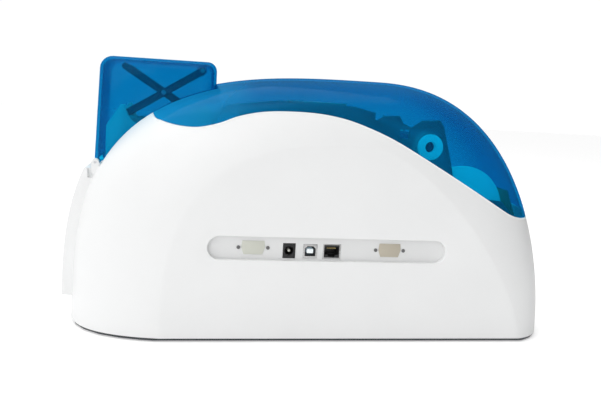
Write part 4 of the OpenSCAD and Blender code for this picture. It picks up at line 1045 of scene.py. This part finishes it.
# --- copies of nodes with softened edges: width of the bevel (mm) ---
SOFT_EDGES = {
    "hopper_cover": 0.5, "end_panel": 0.8, "presser_outer_arm": 0.5, "presser_inner_arm": 0.5,
    "presser_plate": 0.5, "card_magazine": 0.5, "chassis_rear_plate": 0.3,
    "chassis_front_plate": 0.3, "head_arm": 0.4, "supply_flanges": 0.5, "takeup_core": 0.5,
    "left_port_blank": 0.5, "right_port_blank": 0.5, "control_panel": 0.5, "power_button": 0.6,
    "feed_button": 0.6, "base_pan": 0.4, "rubber_feet": 0.3, "card_deck": 0.3, "feed_motor": 0.6,
    "ribbon_motor": 0.6,
}


def soften_nodes():
    def welded(bm):
        bmesh.ops.remove_doubles(bm, verts=bm.verts, dist=0.000002)
        bmesh.ops.dissolve_limit(bm, angle_limit=math.radians(0.5), verts=bm.verts, edges=bm.edges)

    for node, width in SOFT_EDGES.items():
        obj = placed(f"{node}_finished", NODES[node].data.copy())
        edited(obj.data, welded)
        bevelled(obj, width, 2, 35)
        dress(obj, NODE_FINISH[node], BODY_OF[node], [node])


def set_finishes():
    for node, finish in NODE_FINISH.items():
        slots = NODES[node].material_slots
        if not slots:
            raise RuntimeError(f"{node} has no material slot")
        for slot in slots:
            slot.material = MATERIALS[finish]


# --- stage ---
# the camera fitted to the photograph: place (m), turn, tilt and roll (degrees), lens (mm)
CAMERA_PLACE = (-0.12157, -0.66164, 0.20907)
CAMERA_TURN, CAMERA_TILT, CAMERA_ROLL, CAMERA_LENS = 9.87, 8.42, 3.41, 41.35


def studio_world(looks):
    """White room: even light, brighter at the left than at the right, white behind the printer."""
    world = bpy.data.worlds.new("studio")
    world.use_nodes = True
    tree = world.node_tree
    tree.nodes.clear()
    way = add(tree, "ShaderNodeTexCoord").outputs["Generated"]
    split = add(tree, "ShaderNodeSeparateXYZ", {0: way}).outputs
    across = ranged(tree, split["X"], looks.left_light, looks.right_light, -0.9, 0.9,
                    interpolation_type="SMOOTHSTEP")
    upward = ranged(tree, split["Z"], 0.0, looks.sky_light)
    seen = add(tree, "ShaderNodeLightPath").outputs["Is Camera Ray"]
    blend = add(tree, "ShaderNodeMix", {
        "Factor": seen, "A": maths(tree, "ADD", across, upward), "B": looks.back_light})
    light = add(tree, "ShaderNodeBackground",
                {"Color": (1, 1, 1, 1), "Strength": blend.outputs["Result"]})
    add(tree, "ShaderNodeOutputWorld", {"Surface": light.outputs[0]})
    return world


def studio_floor(looks):
    """White table, brighter to the camera than in the light that it gives the printer."""
    table = moulded("studio floor", (0.95, 0.95, 0.95), 0.6, 60.0, 0.0001, vary=0.005)
    tree = table.node_tree
    shader = next(n for n in tree.nodes if n.type == "BSDF_PRINCIPLED")
    shader.inputs["Emission Color"].default_value = (1, 1, 1, 1)
    seen = add(tree, "ShaderNodeLightPath").outputs["Is Camera Ray"]
    tree.links.new(ranged(tree, seen, 0.05, looks.floor_glow), shader.inputs["Emission Strength"])
    return table


def build_stage(looks):
    scene = bpy.context.scene
    a, p, r = (math.radians(v) for v in (CAMERA_TURN, CAMERA_TILT, CAMERA_ROLL))
    forward = Vector((math.sin(a) * math.cos(p), math.cos(a) * math.cos(p), -math.sin(p)))
    right = Vector((math.cos(a), -math.sin(a), 0))
    up = right.cross(forward)
    right, up = right * math.cos(r) + up * math.sin(r), up * math.cos(r) - right * math.sin(r)
    camera = placed("camera", bpy.data.cameras.new("camera"))
    camera.matrix_world = Matrix.Translation(CAMERA_PLACE) @ Matrix(
        (right, up, -forward)).transposed().to_4x4()
    camera.data.lens = CAMERA_LENS
    camera.data.sensor_width = 36.0
    camera.data.clip_start = 0.01
    scene.camera = camera
    corners = [(-6, -6, 0), (6, -6, 0), (6, 6, 0), (-6, 6, 0)]
    floor = new_object("floor", corners, [(0, 1, 2, 3)], scale=1.0)
    floor.data.materials.append(studio_floor(looks))
    scene.world = studio_world(looks)
    for name, place, size, power in (
        ("key", (-0.6, -1.45, 0.9), 1.2, looks.key_power),
        ("top", (-0.2, 0.3, 1.7), 1.4, looks.top_power),
    ):
        lamp = bpy.data.lights.new(name, "AREA")
        lamp.size = size
        lamp.energy = power
        obj = placed(name, lamp)
        obj.location = place
        obj.rotation_mode = "QUATERNION"
        obj.rotation_quaternion = (Vector(place) - Vector((0, 0, 0.1))).to_track_quat("Z", "Y")
    scene.view_settings.view_transform = "Standard"
    scene.cycles.transparent_max_bounces = 24


class PrinterLooks(bpy.types.PropertyGroup):
    body_colour: FloatVectorProperty(
        name="Shell colour", description="Colour of the white shell", subtype="COLOR",
        size=3, default=(0.87, 0.875, 0.875), min=0, max=1)
    lid_tint: FloatVectorProperty(
        name="Lid tint", description="What one face of the lid lets through head on",
        subtype="COLOR", size=3, default=(0.03, 0.635, 0.81), min=0, max=1)
    lid_edge_tint: FloatVectorProperty(
        name="Lid edge tint", description="What it lets through at a glancing angle",
        subtype="COLOR", size=3, default=(0.0, 0.24, 0.54), min=0, max=1)
    hopper_tint: FloatVectorProperty(
        name="Hopper tint", description="What one face of the hopper lets through",
        subtype="COLOR", size=3, default=(0.03, 0.63, 0.805), min=0, max=1)
    lid_haze: FloatVectorProperty(
        name="Haze colour", description="Colour of the haze in the clear plastic", subtype="COLOR",
        size=3, default=(0.02, 0.52, 0.95), min=0, max=1)
    lid_haze_share: FloatProperty(
        name="Haze", description="Share of the light that the haze takes", default=0.06,
        min=0, max=1, subtype="FACTOR")
    left_light: FloatProperty(
        name="Left light", description="Strength of the even light from the left", default=0.68,
        min=0, max=5)
    right_light: FloatProperty(
        name="Right light", description="Strength of the even light from the right", default=0.0,
        min=0, max=5)
    sky_light: FloatProperty(
        name="Overhead light", description="Strength added to the even light straight above",
        default=0.52, min=0, max=5)
    floor_glow: FloatProperty(
        name="Floor glow", description="Light that the white table gives off by itself",
        default=0.36, min=0, max=5)
    back_light: FloatProperty(
        name="Backdrop", description="Strength of the white behind the printer", default=1.02,
        min=0, max=5)
    key_power: FloatProperty(
        name="Key light", description="Power of the large lamp at the left", default=6.9, min=0,
        max=500, unit="POWER")
    top_power: FloatProperty(
        name="Top light", description="Power of the large lamp overhead", default=11.0, min=0,
        max=500, unit="POWER")


class StageOperator(bpy.types.Operator):
    """Makes the camera, floor and studio light"""

    bl_idname = "card_printer.stage"
    bl_label = "Stage"

    def execute(self, context):
        build_stage(context.scene.printer_looks)
        return {"FINISHED"}


class FinishOperator(bpy.types.Operator):
    """Makes the materials and gives every carried-over node its finish"""

    bl_idname = "card_printer.finishes"
    bl_label = "Finishes"

    def execute(self, context):
        make_materials(context.scene.printer_looks)
        set_finishes()
        return {"FINISHED"}


class HousingOperator(bpy.types.Operator):
    """Builds the smooth white shell in two halves"""

    bl_idname = "card_printer.housing"
    bl_label = "Housing"

    def execute(self, context):
        build_housing()
        return {"FINISHED"}


class LidOperator(bpy.types.Operator):
    """Builds the clear wave-edged lid"""

    bl_idname = "card_printer.lid"
    bl_label = "Lid"

    def execute(self, context):
        build_lid()
        return {"FINISHED"}


class RimOperator(bpy.types.Operator):
    """Lays the bead along the shell's wave-shaped edge"""

    bl_idname = "card_printer.rim"
    bl_label = "Rim bead"

    def execute(self, context):
        build_rim()
        return {"FINISHED"}


class SocketOperator(bpy.types.Operator):
    """Builds the power, data and network sockets"""

    bl_idname = "card_printer.sockets"
    bl_label = "Sockets"

    def execute(self, context):
        build_sockets()
        return {"FINISHED"}


class ScrewOperator(bpy.types.Operator):
    """Places the port screws and the shell screws"""

    bl_idname = "card_printer.screws"
    bl_label = "Screws"

    def execute(self, context):
        build_screws()
        return {"FINISHED"}


class FilmOperator(bpy.types.Operator):
    """Winds the print film and lays its run"""

    bl_idname = "card_printer.film"
    bl_label = "Print film"

    def execute(self, context):
        build_film()
        return {"FINISHED"}


class BeltOperator(bpy.types.Operator):
    """Builds the toothed belts"""

    bl_idname = "card_printer.belts"
    bl_label = "Belts"

    def execute(self, context):
        build_belts()
        return {"FINISHED"}


class SpringOperator(bpy.types.Operator):
    """Coils the head springs"""

    bl_idname = "card_printer.springs"
    bl_label = "Head springs"

    def execute(self, context):
        build_springs()
        return {"FINISHED"}


class EdgeOperator(bpy.types.Operator):
    """Softens the edges of the carried-over nodes"""

    bl_idname = "card_printer.edges"
    bl_label = "Softened edges"

    def execute(self, context):
        soften_nodes()
        return {"FINISHED"}


OPERATORS = (
    StageOperator, FinishOperator, HousingOperator, LidOperator, RimOperator, SocketOperator,
    ScrewOperator, FilmOperator, BeltOperator, SpringOperator, EdgeOperator,
)


class PrinterPanel(bpy.types.Panel):
    """Lists the builders of the printer's pieces"""

    bl_idname = "VIEW3D_PT_card_printer"
    bl_label = "Card Printer"
    bl_space_type = "VIEW_3D"
    bl_region_type = "UI"
    bl_category = "Card Printer"

    def draw(self, context):
        for operator in OPERATORS:
            self.layout.operator(operator.bl_idname)


CLASSES = (PrinterLooks, *OPERATORS, PrinterPanel)


def register():
    for cls in CLASSES:
        bpy.utils.register_class(cls)
    bpy.types.Scene.printer_looks = PointerProperty(type=PrinterLooks)


def unregister():
    del bpy.types.Scene.printer_looks
    for cls in reversed(CLASSES):
        bpy.utils.unregister_class(cls)


def main():
    register()
    for operator in OPERATORS:
        family, call = operator.bl_idname.split(".")
        getattr(getattr(bpy.ops, family), call)()
    bpy.context.view_layer.update()


if __name__ == "__main__":
    main()
